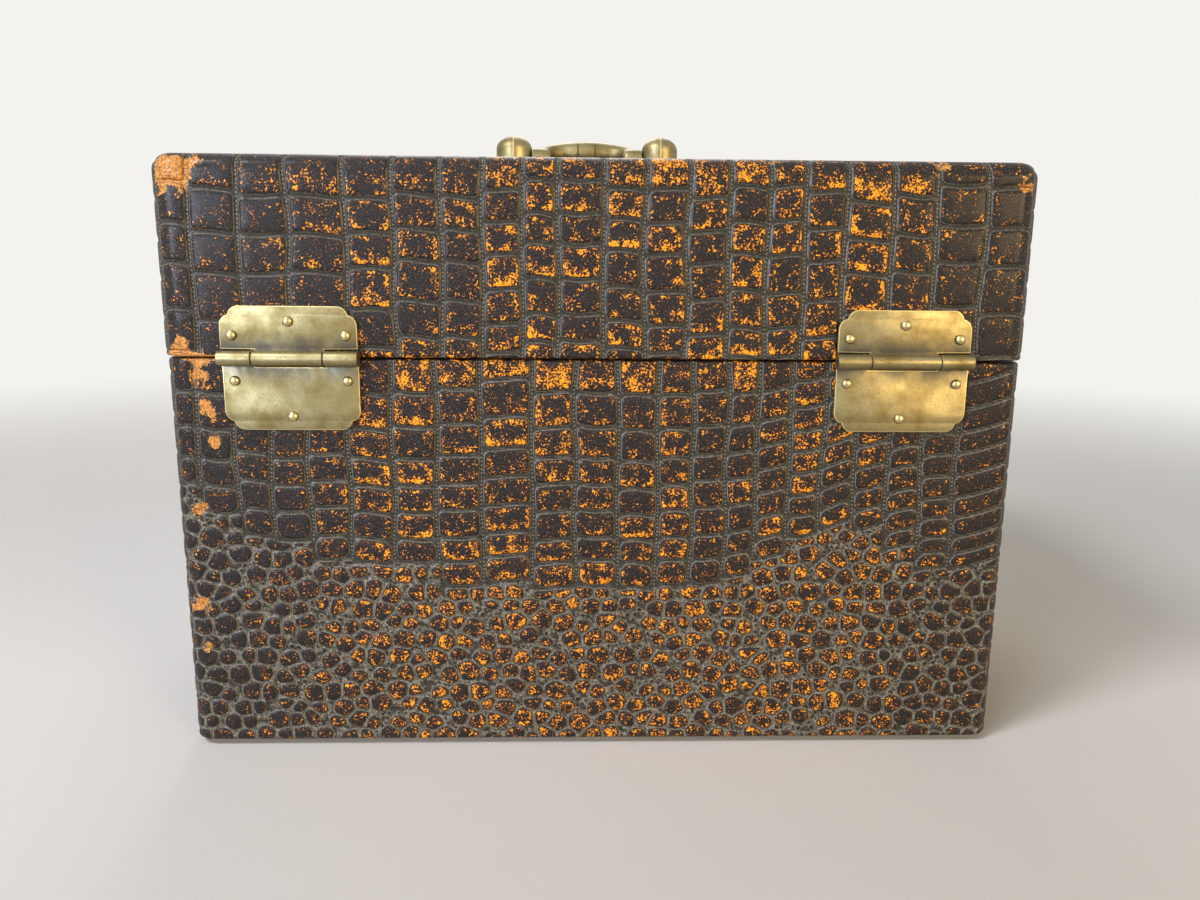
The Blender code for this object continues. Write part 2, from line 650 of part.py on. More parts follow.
def build_lock(side_name, side, shells):
    """A pressed case on the base with a slot for the hasp's nose and one for the sliding button."""
    x = side * LATCH_OFFSET
    high = BASE_HIGH - LOCK_BELOW_SPLIT
    low = high - LOCK_HEIGHT
    back = SEAT_GAP - LID_OVERHANG
    bm = bmesh.new()
    bmesh.ops.create_cube(bm, size=1.0)
    bmesh.ops.scale(bm, vec=(LOCK_WIDTH, LOCK_THICKNESS, LOCK_HEIGHT), verts=bm.verts)
    middle = Vector((x, front(back + LOCK_THICKNESS / 2), (low + high) / 2))
    bmesh.ops.translate(bm, vec=middle, verts=bm.verts)
    open_back = [f for f in bm.faces if f.normal.y > 0.5]
    bmesh.ops.delete(bm, geom=open_back, context="FACES_ONLY")
    face = [e for e in bm.edges if len(e.link_faces) == 2]
    bmesh.ops.bevel(bm, geom=face, offset=LOCK_EDGE_RADIUS, segments=2, profile=0.5, affect="EDGES")
    mesh = bpy.data.meshes.new("lock")
    bm.to_mesh(mesh)
    bm.free()
    lock = add_part(f"lock_case_{side_name}", mesh, BRASS)
    wall = lock.modifiers.new("wall", "SOLIDIFY")
    wall.thickness = LOCK_WALL
    wall.offset = -1
    wall.solidify_mode = "NON_MANIFOLD"
    wall.nonmanifold_thickness_mode = "CONSTRAINTS"
    wall.nonmanifold_merge_threshold = MERGE_DISTANCE
    ear_reach = LOCK_WIDTH / 2 + LOCK_EAR
    nail_u = LOCK_WIDTH / 2 + LOCK_EAR / 2
    ear_height = LOCK_HEIGHT / 2 - LOCK_WALL
    hole = NAIL_SHANK_RADIUS + NAIL_HOLE_CLEARANCE
    for ear in (-1, 1):
        outline = [
            (ear * (LOCK_WIDTH / 2 - LOCK_WALL / 2), -ear_height),
            (ear * (ear_reach - LOCK_EAR / 2), -ear_height),
            (ear * ear_reach, -ear_height / 2),
            (ear * ear_reach, ear_height / 2),
            (ear * (ear_reach - LOCK_EAR / 2), ear_height),
            (ear * (LOCK_WIDTH / 2 - LOCK_WALL / 2), ear_height),
        ]
        place = Matrix.Translation((x, front(back + LOCK_WALL / 2), middle.z)) @ BACK_VIEW
        plate = outline_mesh("ear", [outline, circle((ear * nail_u, 0), hole)], LOCK_WALL, place)
        combine(lock, add_guide(f"lock_ear_{side_name}_{ear + 2}", plate), "UNION")
    seats = []
    for number, ear in enumerate((-1, 1)):
        seat = Vector((x + ear * nail_u, front(back + LOCK_WALL + SEAT_GAP), middle.z))
        add_nail(f"nail_lock_{side_name}_{number + 1}", NAIL_BRASS, seat, OUT_FRONT)
        seats.append(seat)
    drill(f"lock_holes_{side_name}", shells, seats, OUT_FRONT, hole, NAIL_SHANK_LENGTH + OVERRUN)

    nose_low = high - NOSE_BELOW_TOP - NOSE_HEIGHT
    half_slot = NOSE_WIDTH / 2 + NOSE_CLEARANCE
    slot_back = HASP_BACK - NOSE_DEPTH - NOSE_CLEARANCE
    slot = front_box(
        "slot",
        x,
        (-half_slot, slot_back, nose_low - NOSE_CLEARANCE),
        (half_slot, LOCK_FRONT + OVERRUN, high + OVERRUN),
    )
    combine(lock, add_guide(f"nose_slot_{side_name}", slot), "DIFFERENCE")

    bolt_z = nose_low + NOSE_HEIGHT / 2
    neck_start = BUTTON_START + (BUTTON_WIDTH - BUTTON_NECK) / 2
    neck_end = neck_start + BUTTON_NECK
    slot_start = neck_start - HASP_CLEARANCE
    slot_end = neck_end + BUTTON_TRAVEL + HASP_CLEARANCE
    slot_ends = sorted((side * slot_start, side * slot_end))
    half_neck = BUTTON_NECK / 2 + HASP_CLEARANCE
    slot = front_box(
        "slot",
        x,
        (slot_ends[0], LOCK_FRONT - LOCK_WALL - OVERRUN / 2, bolt_z - half_neck),
        (slot_ends[1], LOCK_FRONT + OVERRUN, bolt_z + half_neck),
    )
    combine(lock, add_guide(f"button_slot_{side_name}", slot), "DIFFERENCE")

    bolt_front = LOCK_FRONT - LOCK_WALL - HASP_CLEARANCE
    bolt_start = NOSE_WIDTH / 2 + BOLT_CLEARANCE
    ends = sorted((side * bolt_start, side * neck_end))
    bolt = front_box(
        "bolt",
        x,
        (ends[0], bolt_front - BOLT_THICKNESS, bolt_z - BOLT_HEIGHT / 2),
        (ends[1], bolt_front, bolt_z + BOLT_HEIGHT / 2),
    )
    slide = add_part(f"latch_button_{side_name}", bolt, BRASS)
    ends = sorted((side * neck_start, side * neck_end))
    overlap = BOLT_THICKNESS / 2
    neck = front_box(
        "neck",
        x,
        (ends[0], bolt_front - overlap, bolt_z - BUTTON_NECK / 2),
        (ends[1], BUTTON_BACK + BUTTON_THICKNESS / 2, bolt_z + BUTTON_NECK / 2),
    )
    combine(slide, add_guide(f"button_neck_{side_name}", neck), "UNION")
    ends = sorted((side * BUTTON_START, side * (BUTTON_START + BUTTON_WIDTH)))
    cap = front_box(
        "cap",
        x,
        (ends[0], BUTTON_BACK, bolt_z - BUTTON_HEIGHT / 2),
        (ends[1], BUTTON_BACK + BUTTON_THICKNESS, bolt_z + BUTTON_HEIGHT / 2),
    )
    combine(slide, add_guide(f"button_cap_{side_name}", cap), "UNION")
    build_latch_spring(side_name, side, x, neck_end, bolt_z, bolt_front)


def build_latch_spring(side_name, side, x, bolt_end, bolt_z, bolt_front):
    """A strip bent to a hairpin that pushes the bolt back over the hasp's nose."""
    start = bolt_end + SEAT_GAP
    end = LOCK_WIDTH / 2 - LOCK_WALL - SEAT_GAP
    centre = ((start + end) / 2, 0)
    outer = (end - start) / 2
    inner = outer - SPRING_STRIP
    leg = BOLT_HEIGHT / 2
    outline = [(end, -leg)] + arc(centre, outer, 0, 180, 2 * EDGE_SEGMENTS)
    outline += [(start, -leg), (start + SPRING_STRIP, -leg)]
    outline += arc(centre, inner, 180, 0, 2 * EDGE_SEGMENTS) + [(end - SPRING_STRIP, -leg)]
    outline = [(side * u, v) for u, v in outline]
    place = Matrix.Translation((x, front(bolt_front - BOLT_THICKNESS / 2), bolt_z)) @ BACK_VIEW
    name = f"latch_spring_{side_name}"
    add_part(name, outline_mesh(name, [outline], BOLT_THICKNESS / 2, place), STEEL)


def build_hasp(side_name, side, shells):
    """A keeper plate on the lid and the hasp that swings on it, with a nose that enters the lock case."""
    x = side * LATCH_OFFSET
    axis_depth = SEAT_GAP + HASP_KNUCKLE_RADIUS
    axis_z = LID_LOW + KEEPER_ABOVE_SPLIT
    pivot = (x, front(axis_depth), axis_z)
    half = KEEPER_WIDTH / 2
    top = KEEPER_HEIGHT
    chamfer = HASP_KNUCKLE_RADIUS
    nail = (half * KEEPER_NAIL_SHARE, top * KEEPER_NAIL_SHARE)
    outline = mirrored([(half, 0), (half, top - chamfer), (half - chamfer, top)])
    inner = HASP_WIDTH / 2 + SEAT_GAP
    notch = HASP_KNUCKLE_RADIUS + SEAT_GAP * 2
    outline += [(-inner, 0), (-inner, notch), (inner, notch), (inner, 0)]
    hole = NAIL_SHANK_RADIUS + NAIL_HOLE_CLEARANCE
    nails = [(-nail[0], nail[1]), nail]
    place = Matrix.Translation((x, front(SEAT_GAP + LEAF_THICKNESS / 2), axis_z)) @ BACK_VIEW
    name = f"keeper_{side_name}"
    plate = outline_mesh(name, [outline] + [circle(n, hole) for n in nails], LEAF_THICKNESS, place)
    keeper = add_part(name, plate, BRASS)
    for number, (start, end) in enumerate(((-half, -inner), (inner, half))):
        barrel = cylinder_mesh(
            "knuckle", HASP_KNUCKLE_RADIUS, (x + start, *pivot[1:]), (x + end, *pivot[1:])
        )
        combine(keeper, add_guide(f"keeper_knuckle_{side_name}_{number}", barrel), "UNION")
    bore = add_guide(
        f"hasp_bore_{side_name}",
        cylinder_mesh(
            "bore",
            HASP_PIN_RADIUS + PIN_CLEARANCE,
            (x - half - OVERRUN, *pivot[1:]),
            (x + half + OVERRUN, *pivot[1:]),
        ),
    )
    combine(keeper, bore, "DIFFERENCE")
    seats = []
    for number, (u, v) in enumerate(nails):
        seat = Vector((x + u, front(2 * SEAT_GAP + LEAF_THICKNESS), axis_z + v))
        add_nail(f"nail_keeper_{side_name}_{number + 1}", NAIL_BRASS, seat, OUT_FRONT)
        seats.append(seat)
    drill(f"keeper_holes_{side_name}", shells, seats, OUT_FRONT, hole, NAIL_SHANK_LENGTH + OVERRUN)
    pin = cylinder_mesh("pin", HASP_PIN_RADIUS, (x - half, *pivot[1:]), (x + half, *pivot[1:]))
    add_part(f"hasp_pin_{side_name}", pin, BRASS)

    radius = HASP_KNUCKLE_RADIUS
    back = HASP_BACK - axis_depth
    face = HASP_FRONT - axis_depth
    around = arc((0, 0), radius, 300, 40, 4 * EDGE_SEGMENTS)
    outline = around + [
        (face, -radius),
        (face, HASP_CURL_HEIGHT - HASP_REACH),
        (face + HASP_CURL, -HASP_REACH),
        (back + HASP_CURL, -HASP_REACH),
        (back, HASP_CURL_HEIGHT - HASP_REACH),
        (back, -radius - HASP_THICKNESS / 2),
    ]
    place = Matrix.Translation(pivot) @ SIDE_VIEW
    name = f"hasp_{side_name}"
    hasp = add_part(name, outline_mesh(name, [outline], HASP_WIDTH, place), BRASS, pivot)
    nose_high = BASE_HIGH - LOCK_BELOW_SPLIT - NOSE_BELOW_TOP
    nose = front_box(
        "nose",
        x,
        (-NOSE_WIDTH / 2, HASP_BACK - NOSE_DEPTH, nose_high - NOSE_HEIGHT),
        (NOSE_WIDTH / 2, HASP_BACK + HASP_THICKNESS / 2, nose_high),
    )
    combine(hasp, add_guide(f"hasp_nose_{side_name}", nose), "UNION")
    combine(hasp, bore, "DIFFERENCE")


def crown_height(x):
    """How far the lid's top stands above its edge on the middle line."""
    return LID_CROWN * (1 - (x / (CASE_WIDTH / 2 - TOP_EDGE_RADIUS)) ** 2)


def handle_pivot_height():
    return LID_HIGH + crown_height(LUG_SPACING / 2) + SEAT_GAP + PIVOT_HEIGHT


def build_lugs(shells):
    """Two domed posts a little off the middle, each with a stud through the lid and a socket."""
    seat_z = LID_HIGH + crown_height(LUG_SPACING / 2) + SEAT_GAP
    pivot_z = handle_pivot_height()
    shoulder = LUG_HEIGHT - LUG_DOME
    profile = [(r, h + shoulder) for r, h in dome(LUG_RADIUS, LUG_DOME, DOME_STEPS + 1)]
    profile += [
        (LUG_RADIUS, 0),
        (LUG_STUD_RADIUS, 0),
        (LUG_STUD_RADIUS, -LUG_STUD_LENGTH),
        (0, -LUG_STUD_LENGTH),
    ]
    seats = []
    for side_name, side in (("left", -1), ("right", 1)):
        seat = Vector((HANDLE_OFFSET + side * LUG_SPACING / 2, CENTRE_Y, seat_z))
        lug = add_turned(f"handle_lug_{side_name}", profile, LUG_STEPS, BRASS, seat, UP)
        face = LUG_SPACING / 2 - LUG_RADIUS
        socket = cylinder_mesh(
            "socket",
            TRUNNION_RADIUS + SEAT_GAP,
            (HANDLE_OFFSET + side * (face - OVERRUN), CENTRE_Y, pivot_z),
            (HANDLE_OFFSET + side * (face + TRUNNION_LENGTH + SEAT_GAP), CENTRE_Y, pivot_z),
        )
        combine(lug, add_guide(f"lug_socket_{side_name}", socket), "DIFFERENCE")
        seats.append(seat)
    drill("lug_holes", shells, seats, UP, LUG_STUD_RADIUS + SEAT_GAP, LUG_STUD_LENGTH + OVERRUN)


def grip_radius(x, half_grip):
    """The grip swells towards its middle, where two grooves set off a ring."""
    swell = math.cos(min(1.0, abs(x) / half_grip) * math.pi / 2)
    return BAIL_ARM_RADIUS + (GRIP_RADIUS - BAIL_ARM_RADIUS) * swell


def build_bail():
    """The handle: a swelling grip on two arms that end in rounded elbows turning in the lugs."""
    pivot = Vector((HANDLE_OFFSET, CENTRE_Y, handle_pivot_height()))
    face = LUG_SPACING / 2 - LUG_RADIUS
    elbow_x = face - SEAT_GAP - ELBOW_WIDTH / 2
    bend = (elbow_x - BAIL_CORNER, BAIL_REACH - BAIL_CORNER)
    half = [(elbow_x, ELBOW_RADIUS / 3), (elbow_x, BAIL_REACH / 3)]
    half += arc(bend, BAIL_CORNER, 0, 90, 2 * EDGE_SEGMENTS)
    ring = GRIP_RING / 2
    groove = GRIP_GROOVE_WIDTH
    steps = [ring + groove, ring + groove * 2 / 3, ring + groove / 3, ring]
    path = [(x, y, grip_radius(x, elbow_x)) for x, y in half]
    for number, x in enumerate(steps):
        depth = GRIP_GROOVE_DEPTH if number in (1, 2) else 0
        path.append((x, BAIL_REACH, grip_radius(x, elbow_x) - depth))
    path += [(-x, y, radius) for x, y, radius in reversed(path)]
    curve = bpy.data.curves.new("bail", "CURVE")
    curve.dimensions = "3D"
    curve.bevel_depth = 1.0
    curve.bevel_resolution = TUBE_RESOLUTION
    curve.use_fill_caps = True
    spline = curve.splines.new("POLY")
    spline.points.add(len(path) - 1)
    for point, (u, v, radius) in zip(spline.points, path):
        point.co = (u, v, 0, 1)
        point.radius = radius
    # The rest position leans forward, away from the hinges, and a little up
    lean = Matrix.Rotation(math.pi, 4, "Z") @ Matrix.Rotation(BAIL_REST_ANGLE, 4, "X")
    place = Matrix.Translation(pivot) @ lean
    bail = add_part("bail", mesh_of_curve("bail", curve, place), BRASS, pivot)
    for side_name, side in (("left", -1), ("right", 1)):
        inner = face - SEAT_GAP - ELBOW_WIDTH
        rounding = (inner + ELBOW_ROUNDING, ELBOW_RADIUS - ELBOW_ROUNDING)
        profile = [(inner, 0)] + arc(rounding, ELBOW_ROUNDING, 180, 90)[1:]
        profile += [
            (face - SEAT_GAP, ELBOW_RADIUS),
            (face - SEAT_GAP, TRUNNION_RADIUS),
            (face + TRUNNION_LENGTH, TRUNNION_RADIUS),
            (face + TRUNNION_LENGTH, 0),
        ]
        name = f"elbow_{side_name}"
        mesh = bpy.data.meshes.new(name)
        edges = [(i, i + 1) for i in range(len(profile) - 1)]
        mesh.from_pydata([(0, radius, along) for along, radius in profile], edges, [])
        elbow = add_guide(name, mesh)
        elbow.location = pivot
        elbow.rotation_euler = UP.rotation_difference(RIGHT * side).to_euler()
        screw = elbow.modifiers.new("turn", "SCREW")
        screw.axis = "Z"
        screw.steps = LUG_STEPS
        screw.render_steps = LUG_STEPS
        screw.use_merge_vertices = True
        screw.merge_threshold = MERGE_DISTANCE
        screw.use_normal_calculate = True
        combine(bail, elbow, "UNION")


def stay_link_mesh(name, start, end, x):
    """A flat bar with round ends and a rivet hole in each, between two points of the side view."""
    along = Vector(end) - Vector(start)
    angle = math.degrees(math.atan2(along.y, along.x))
    radius = STAY_LINK_WIDTH / 2
    outline = arc(end, radius, angle - 90, angle + 90, 2 * EDGE_SEGMENTS)
    outline += arc(start, radius, angle + 90, angle + 270, 2 * EDGE_SEGMENTS)
    hole = STAY_RIVET_RADIUS + SEAT_GAP
    place = Matrix.Translation((x, HINGE_Y, HINGE_Z)) @ SIDE_VIEW
    outlines = [outline, circle(start, hole), circle(end, hole)]
    return outline_mesh(name, outlines, STAY_LINK_THICKNESS, place)


def side_point(x, point):
    """The world place of a point of the side view, on the plane at x."""
    return Vector((x, HINGE_Y - point[0], HINGE_Z + point[1]))


def build_stay():
    """Two links on the right inner side that fold flat with the lid shut and lie straight with it open."""
    base_pivot = (STAY_BACK_REACH, -STAY_PIVOT_RISE)
    lid_pivot = (STAY_BACK_REACH, STAY_PIVOT_RISE)
    elbow_reach = math.sqrt(STAY_LINK_LENGTH**2 - STAY_PIVOT_RISE**2)
    elbow = (STAY_BACK_REACH + elbow_reach, 0)
    rim_inset = LID_OVERHANG + INNER_INSET + SEAT_GAP + RIM_THICKNESS
    plate_high = CASE_WIDTH / 2 - rim_inset - SEAT_GAP
    plate_low = plate_high - STAY_PLATE_THICKNESS
    lower_high = plate_low - SEAT_GAP
    lower_low = lower_high - STAY_LINK_THICKNESS
    upper_high = lower_low - SEAT_GAP
    upper_low = upper_high - STAY_LINK_THICKNESS
    lower_x = (lower_low + lower_high) / 2
    upper_x = (upper_low + upper_high) / 2
    lower = stay_link_mesh("stay_lower_link", base_pivot, elbow, lower_x)
    add_part("stay_lower_link", lower, BRASS, side_point(lower_x, base_pivot))
    upper = stay_link_mesh("stay_upper_link", lid_pivot, elbow, upper_x)
    add_part("stay_upper_link", upper, BRASS, side_point(upper_x, elbow))

    half = STAY_PLATE / 2
    middle = side_point(0, base_pivot)
    plate = box_mesh(
        "plate",
        (plate_low, middle.y - half, middle.z - half / 2),
        (plate_high, middle.y + half, middle.z + half),
    )
    bracket = add_part("stay_base_bracket", plate, BRASS)
    inside = plate_low + STAY_PLATE_THICKNESS / 2
    stud = cylinder_mesh(
        "stud",
        STAY_RIVET_RADIUS,
        side_point(inside, base_pivot),
        side_point(lower_low - SEAT_GAP - STAY_HEAD_THICKNESS / 2, base_pivot),
    )
    combine(bracket, add_guide("stay_base_stud", stud), "UNION")
    head = cylinder_mesh(
        "head",
        STAY_HEAD_RADIUS,
        side_point(lower_low - SEAT_GAP, base_pivot),
        side_point(lower_low - SEAT_GAP - STAY_HEAD_THICKNESS, base_pivot),
    )
    combine(bracket, add_guide("stay_base_head", head), "UNION")

    profile = [
        (0, upper_low - SEAT_GAP - STAY_HEAD_THICKNESS),
        (STAY_HEAD_RADIUS, upper_low - SEAT_GAP - STAY_HEAD_THICKNESS),
        (STAY_HEAD_RADIUS, upper_low - SEAT_GAP),
        (STAY_RIVET_RADIUS, upper_low - SEAT_GAP),
        (STAY_RIVET_RADIUS, lower_high + SEAT_GAP),
        (STAY_HEAD_RADIUS, lower_high + SEAT_GAP),
        (STAY_HEAD_RADIUS, lower_high + SEAT_GAP + STAY_HEAD_THICKNESS),
        (0, lower_high + SEAT_GAP + STAY_HEAD_THICKNESS),
    ]
    profile = [(radius, along) for radius, along in reversed(profile)]
    add_turned("stay_elbow_rivet", profile, BARREL_STEPS, BRASS, side_point(0, elbow), RIGHT)

    wall_x = CASE_WIDTH / 2 - INNER_INSET - SEAT_GAP
    middle = side_point(0, lid_pivot)
    plate = box_mesh(
        "plate",
        (wall_x - STAY_PLATE_THICKNESS, middle.y - half, middle.z - half / 2),
        (wall_x, middle.y + half, middle.z + half),
    )
    bracket = add_part("stay_lid_bracket", plate, BRASS)
    stud = cylinder_mesh(
        "stud",
        STAY_RIVET_RADIUS,
        side_point(wall_x - STAY_PLATE_THICKNESS / 2, lid_pivot),
        side_point(upper_high + SEAT_GAP, lid_pivot),
    )
    combine(bracket, add_guide("stay_lid_stud", stud), "UNION")


empty_the_scene()
PARTS = new_collection("vanity_case")
CUTTERS = new_collection("cutters")
LEATHER = new_material("embossed_leather", (0.045, 0.032, 0.026), 0.38)
WOOD = new_material("plywood", (0.52, 0.36, 0.20), 0.7)
CLOTH = new_material("lining_cloth", (0.42, 0.26, 0.12), 0.85)
BRASS = new_material("aged_brass", (0.42, 0.33, 0.16), 0.35, 1.0)
NAIL_BRASS = new_material("nail_brass", (0.62, 0.52, 0.30), 0.3, 1.0)
STEEL = new_material("spring_steel", (0.4, 0.4, 0.42), 0.35, 1.0)
FRAME = new_material("mirror_frame_leather", (0.10, 0.06, 0.04), 0.6)
MIRROR = new_material("mirror_glass", (0.85, 0.87, 0.88), 0.03, 1.0)

base_cover, base_board = build_base()
lid_cover, lid_board = build_lid()
build_feet((base_cover, base_board))
build_mirror()
for side_name, side in (("left", -1), ("right", 1)):
    build_hinge(side_name, side, (base_cover, base_board), (lid_cover, lid_board))
    build_lock(side_name, side, (base_cover, base_board))
    build_hasp(side_name, side, (lid_cover, lid_board))
build_lugs((lid_cover, lid_board))
build_bail()
build_stay()
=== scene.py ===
"""Vanity case in embossed leather, with brass hinges, latches and handle.

The hinges face +Y, as in the photograph. Meshes are drawn in millimetres and scaled to metres when
a piece is made. Patterns in materials are sized in metres.
"""

import math

import bmesh
import bpy
import numpy as np
from mathutils import Matrix, Vector


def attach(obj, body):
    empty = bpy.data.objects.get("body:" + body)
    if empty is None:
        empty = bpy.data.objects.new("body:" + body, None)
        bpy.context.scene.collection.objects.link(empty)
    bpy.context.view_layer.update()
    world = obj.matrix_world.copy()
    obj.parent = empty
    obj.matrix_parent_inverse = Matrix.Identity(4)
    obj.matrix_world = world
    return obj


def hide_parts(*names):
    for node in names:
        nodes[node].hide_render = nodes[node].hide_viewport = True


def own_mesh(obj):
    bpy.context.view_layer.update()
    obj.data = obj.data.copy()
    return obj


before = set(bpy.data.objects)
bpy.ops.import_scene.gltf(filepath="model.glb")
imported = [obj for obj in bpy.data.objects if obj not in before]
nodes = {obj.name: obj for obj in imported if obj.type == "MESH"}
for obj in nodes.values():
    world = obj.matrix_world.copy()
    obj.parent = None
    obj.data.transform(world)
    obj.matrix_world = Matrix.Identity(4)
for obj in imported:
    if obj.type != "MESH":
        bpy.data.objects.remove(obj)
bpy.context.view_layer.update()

# Boards. The base and the lid are boxes of 4 mm birch plywood, glued at their corners. Leather
# covers them outside and cloth inside, so they only show in the gaps between the two.


def tone(code):
    """A colour written as sRGB hex, as the linear values that a socket holds."""
    channels = [int(code[i : i + 2], 16) / 255 for i in (1, 3, 5)]
    return [c / 12.92 if c <= 0.04045 else ((c + 0.055) / 1.055) ** 2.4 for c in channels] + [1.0]


def give(tree, node, inputs):
    """Fill a node's inputs, by a dict of names or numbers or by a list in their order. Other nodes
    are linked from their output in use, and sockets as they are. Colours are sRGB hex codes. A Mix
    of colours has them in 6 and 7, and a MapRange has its value, the range from and the range to."""
    for name, value in inputs.items() if isinstance(inputs, dict) else enumerate(inputs):
        if isinstance(value, str) and value.startswith("#"):
            value = tone(value)
        if isinstance(value, bpy.types.Node):
            value = next(socket for socket in value.outputs if socket.enabled)
        if isinstance(value, bpy.types.NodeSocket):
            tree.links.new(value, node.inputs[name])
        else:
            node.inputs[name].default_value = value


def add(tree, kind, inputs=None, **settings):
    """Add a node. Kinds are shader nodes, unless they are named in full."""
    node = tree.nodes.new(kind if "Node" in kind else f"ShaderNode{kind}")
    for name, value in settings.items():
        setattr(node, name, value)
    give(tree, node, inputs or {})
    return node


SMOOTH = {"interpolation_type": "SMOOTHSTEP"}


def new_finish(name, values):
    """A material and its tree, its shader with the given values, and the object's coordinates."""
    material = bpy.data.materials.new(name)
    material.use_nodes = True
    tree = material.node_tree
    shader = tree.nodes["Principled BSDF"]
    give(tree, shader, values)
    return material, tree, shader, add(tree, "TexCoord").outputs["Object"]


def speckled(name, values, kind, inputs, colours, depth=0.0, gloss=None, stretch=None):
    """A finish of two colours mixed by one texture, which may also raise it and roughen it."""
    material, tree, shader, place = new_finish(name, values)
    if stretch:
        place = add(tree, "Mapping", {0: place, "Scale": stretch})
    speck = add(tree, kind, {"Vector": place, **inputs})
    colour = {0: speck, 6: colours[0], 7: colours[1]}
    give(tree, shader, {"Base Color": add(tree, "Mix", colour, data_type="RGBA")})
    if depth:
        give(tree, shader, {"Normal": add(tree, "Bump", {"Height": speck, "Distance": depth})})
    if gloss:
        give(tree, shader, {"Roughness": add(tree, "MapRange", {0: speck, **gloss})})
    return material


# Birch plywood, sawn and sanded: pale, dull, with long grain about 2 mm apart.
plywood = speckled(
    "birch_plywood", {"Roughness": 0.65}, "TexNoise", {"Scale": 1.0, "Detail": 4.0},
    ("#a8814f", "#d3b384"), depth=0.0002, stretch=(30, 500, 500),
)
for name in ("base_board", "lid_board"):
    for slot in nodes[name].material_slots:
        slot.material = plywood

# Leather. Calf hide is pressed with a crocodile pattern, rubbed so that orange shows through a dark
# glaze, and glued over the boards in one length for each side, turned over the edges. A panel
# closes the top of the lid.
MM = 0.001
CASE_CENTRE_Y = 1.15
COVER = 1.2
RELIEF = 0.7
SHOULDER = 0.95
BULGE = 0.14
LINE_HALF = 0.7
ROW_HALF = 0.45
SCALE_CORNER = 2.0
TURNED_EDGE = 5.6
BASE_LOW, BASE_HIGH = 2.3, 151.9
LID_LOW, LID_HIGH = 152.5, 223.6

# Where the grooves between columns of scales run on the back, by the side of the case
LID_LINES = (
    (-138.7, -120.8, -105.2, -88.1, -73.7, -60.3, -46.3, -31.5, -16.1, -1.4)
    + (15.0, 27.8, 42.0, 56.6, 73.5, 90.5, 110.5, 127.7, 144.8)
)
BASE_LINES = (
    (-134.9, -122.0, -109.1, -96.6, -84.2, -71.7, -59.3, -48.1, -35.3, -22.2, -7.3)
    + (8.7, 24.7, 43.6, 60.2, 76.4, 92.6, 107.6, 121.2, 133.9, 147.4)
)
# Where the square scales of the back give way to round ones: (across, height)
PEBBLE_LINE = (
    ((-155, 76), (-128, 78), (-100, 90), (-84, 92), (-62, 79), (-39, 71), (0, 74))
    + ((30, 72), (64, 76), (97, 80), (130, 92), (142, 100), (155, 112))
)


def nearest_two(u, t, across, up, seed, spread):
    """Distances to the two nearest points of a jittered brick lattice, and a value per point."""
    rng = np.random.default_rng(seed)
    i0 = np.floor(u / across).astype(int)
    j0 = np.floor(t / up).astype(int)
    low_i, low_j = i0.min() - 3, j0.min() - 3
    shape = (j0.max() - low_j + 4, i0.max() - low_i + 4)
    jitter = rng.uniform(-0.3, 0.3, (*shape, 2))
    swell = rng.uniform(-spread, spread, shape)
    value = rng.random(shape)
    first = np.full(u.shape, 1e3)
    second = np.full(u.shape, 1e3)
    owner = np.zeros(u.shape)
    for dj in (-2, -1, 0, 1, 2):
        for di in (-2, -1, 0, 1, 2):
            i, j = i0 + di - low_i, j0 + dj - low_j
            x = (i + low_i + 0.5 * ((j + low_j) % 2) + 0.25 + jitter[j, i, 0]) * across
            y = (j + low_j + 0.5 + jitter[j, i, 1]) * up
            away = np.hypot(u - x, (t - y) * across / up * 0.95) - swell[j, i]
            nearer = away < first
            second = np.where(nearer, first, np.minimum(second, away))
            owner = np.where(nearer, value[j, i], owner)
            first = np.where(nearer, away, first)
    return first, second, owner


def pebbles(u, t, seed):
    """Round scales of the flank with small ones in the gaps between them."""
    first, second, owner = nearest_two(u, t, 8.0, 6.7, seed, 0.8)
    large = np.minimum((second - first) / 2 - 0.15, 4.3 - first)
    first, second, _ = nearest_two(u, t, 2.8, 2.5, seed + 1, 0.2)
    small = np.minimum((second - first) / 2 - 0.1, 1.3 - first)
    return np.maximum(large, np.minimum(small, -0.1 - large)), 0.4 + 0.6 * owner


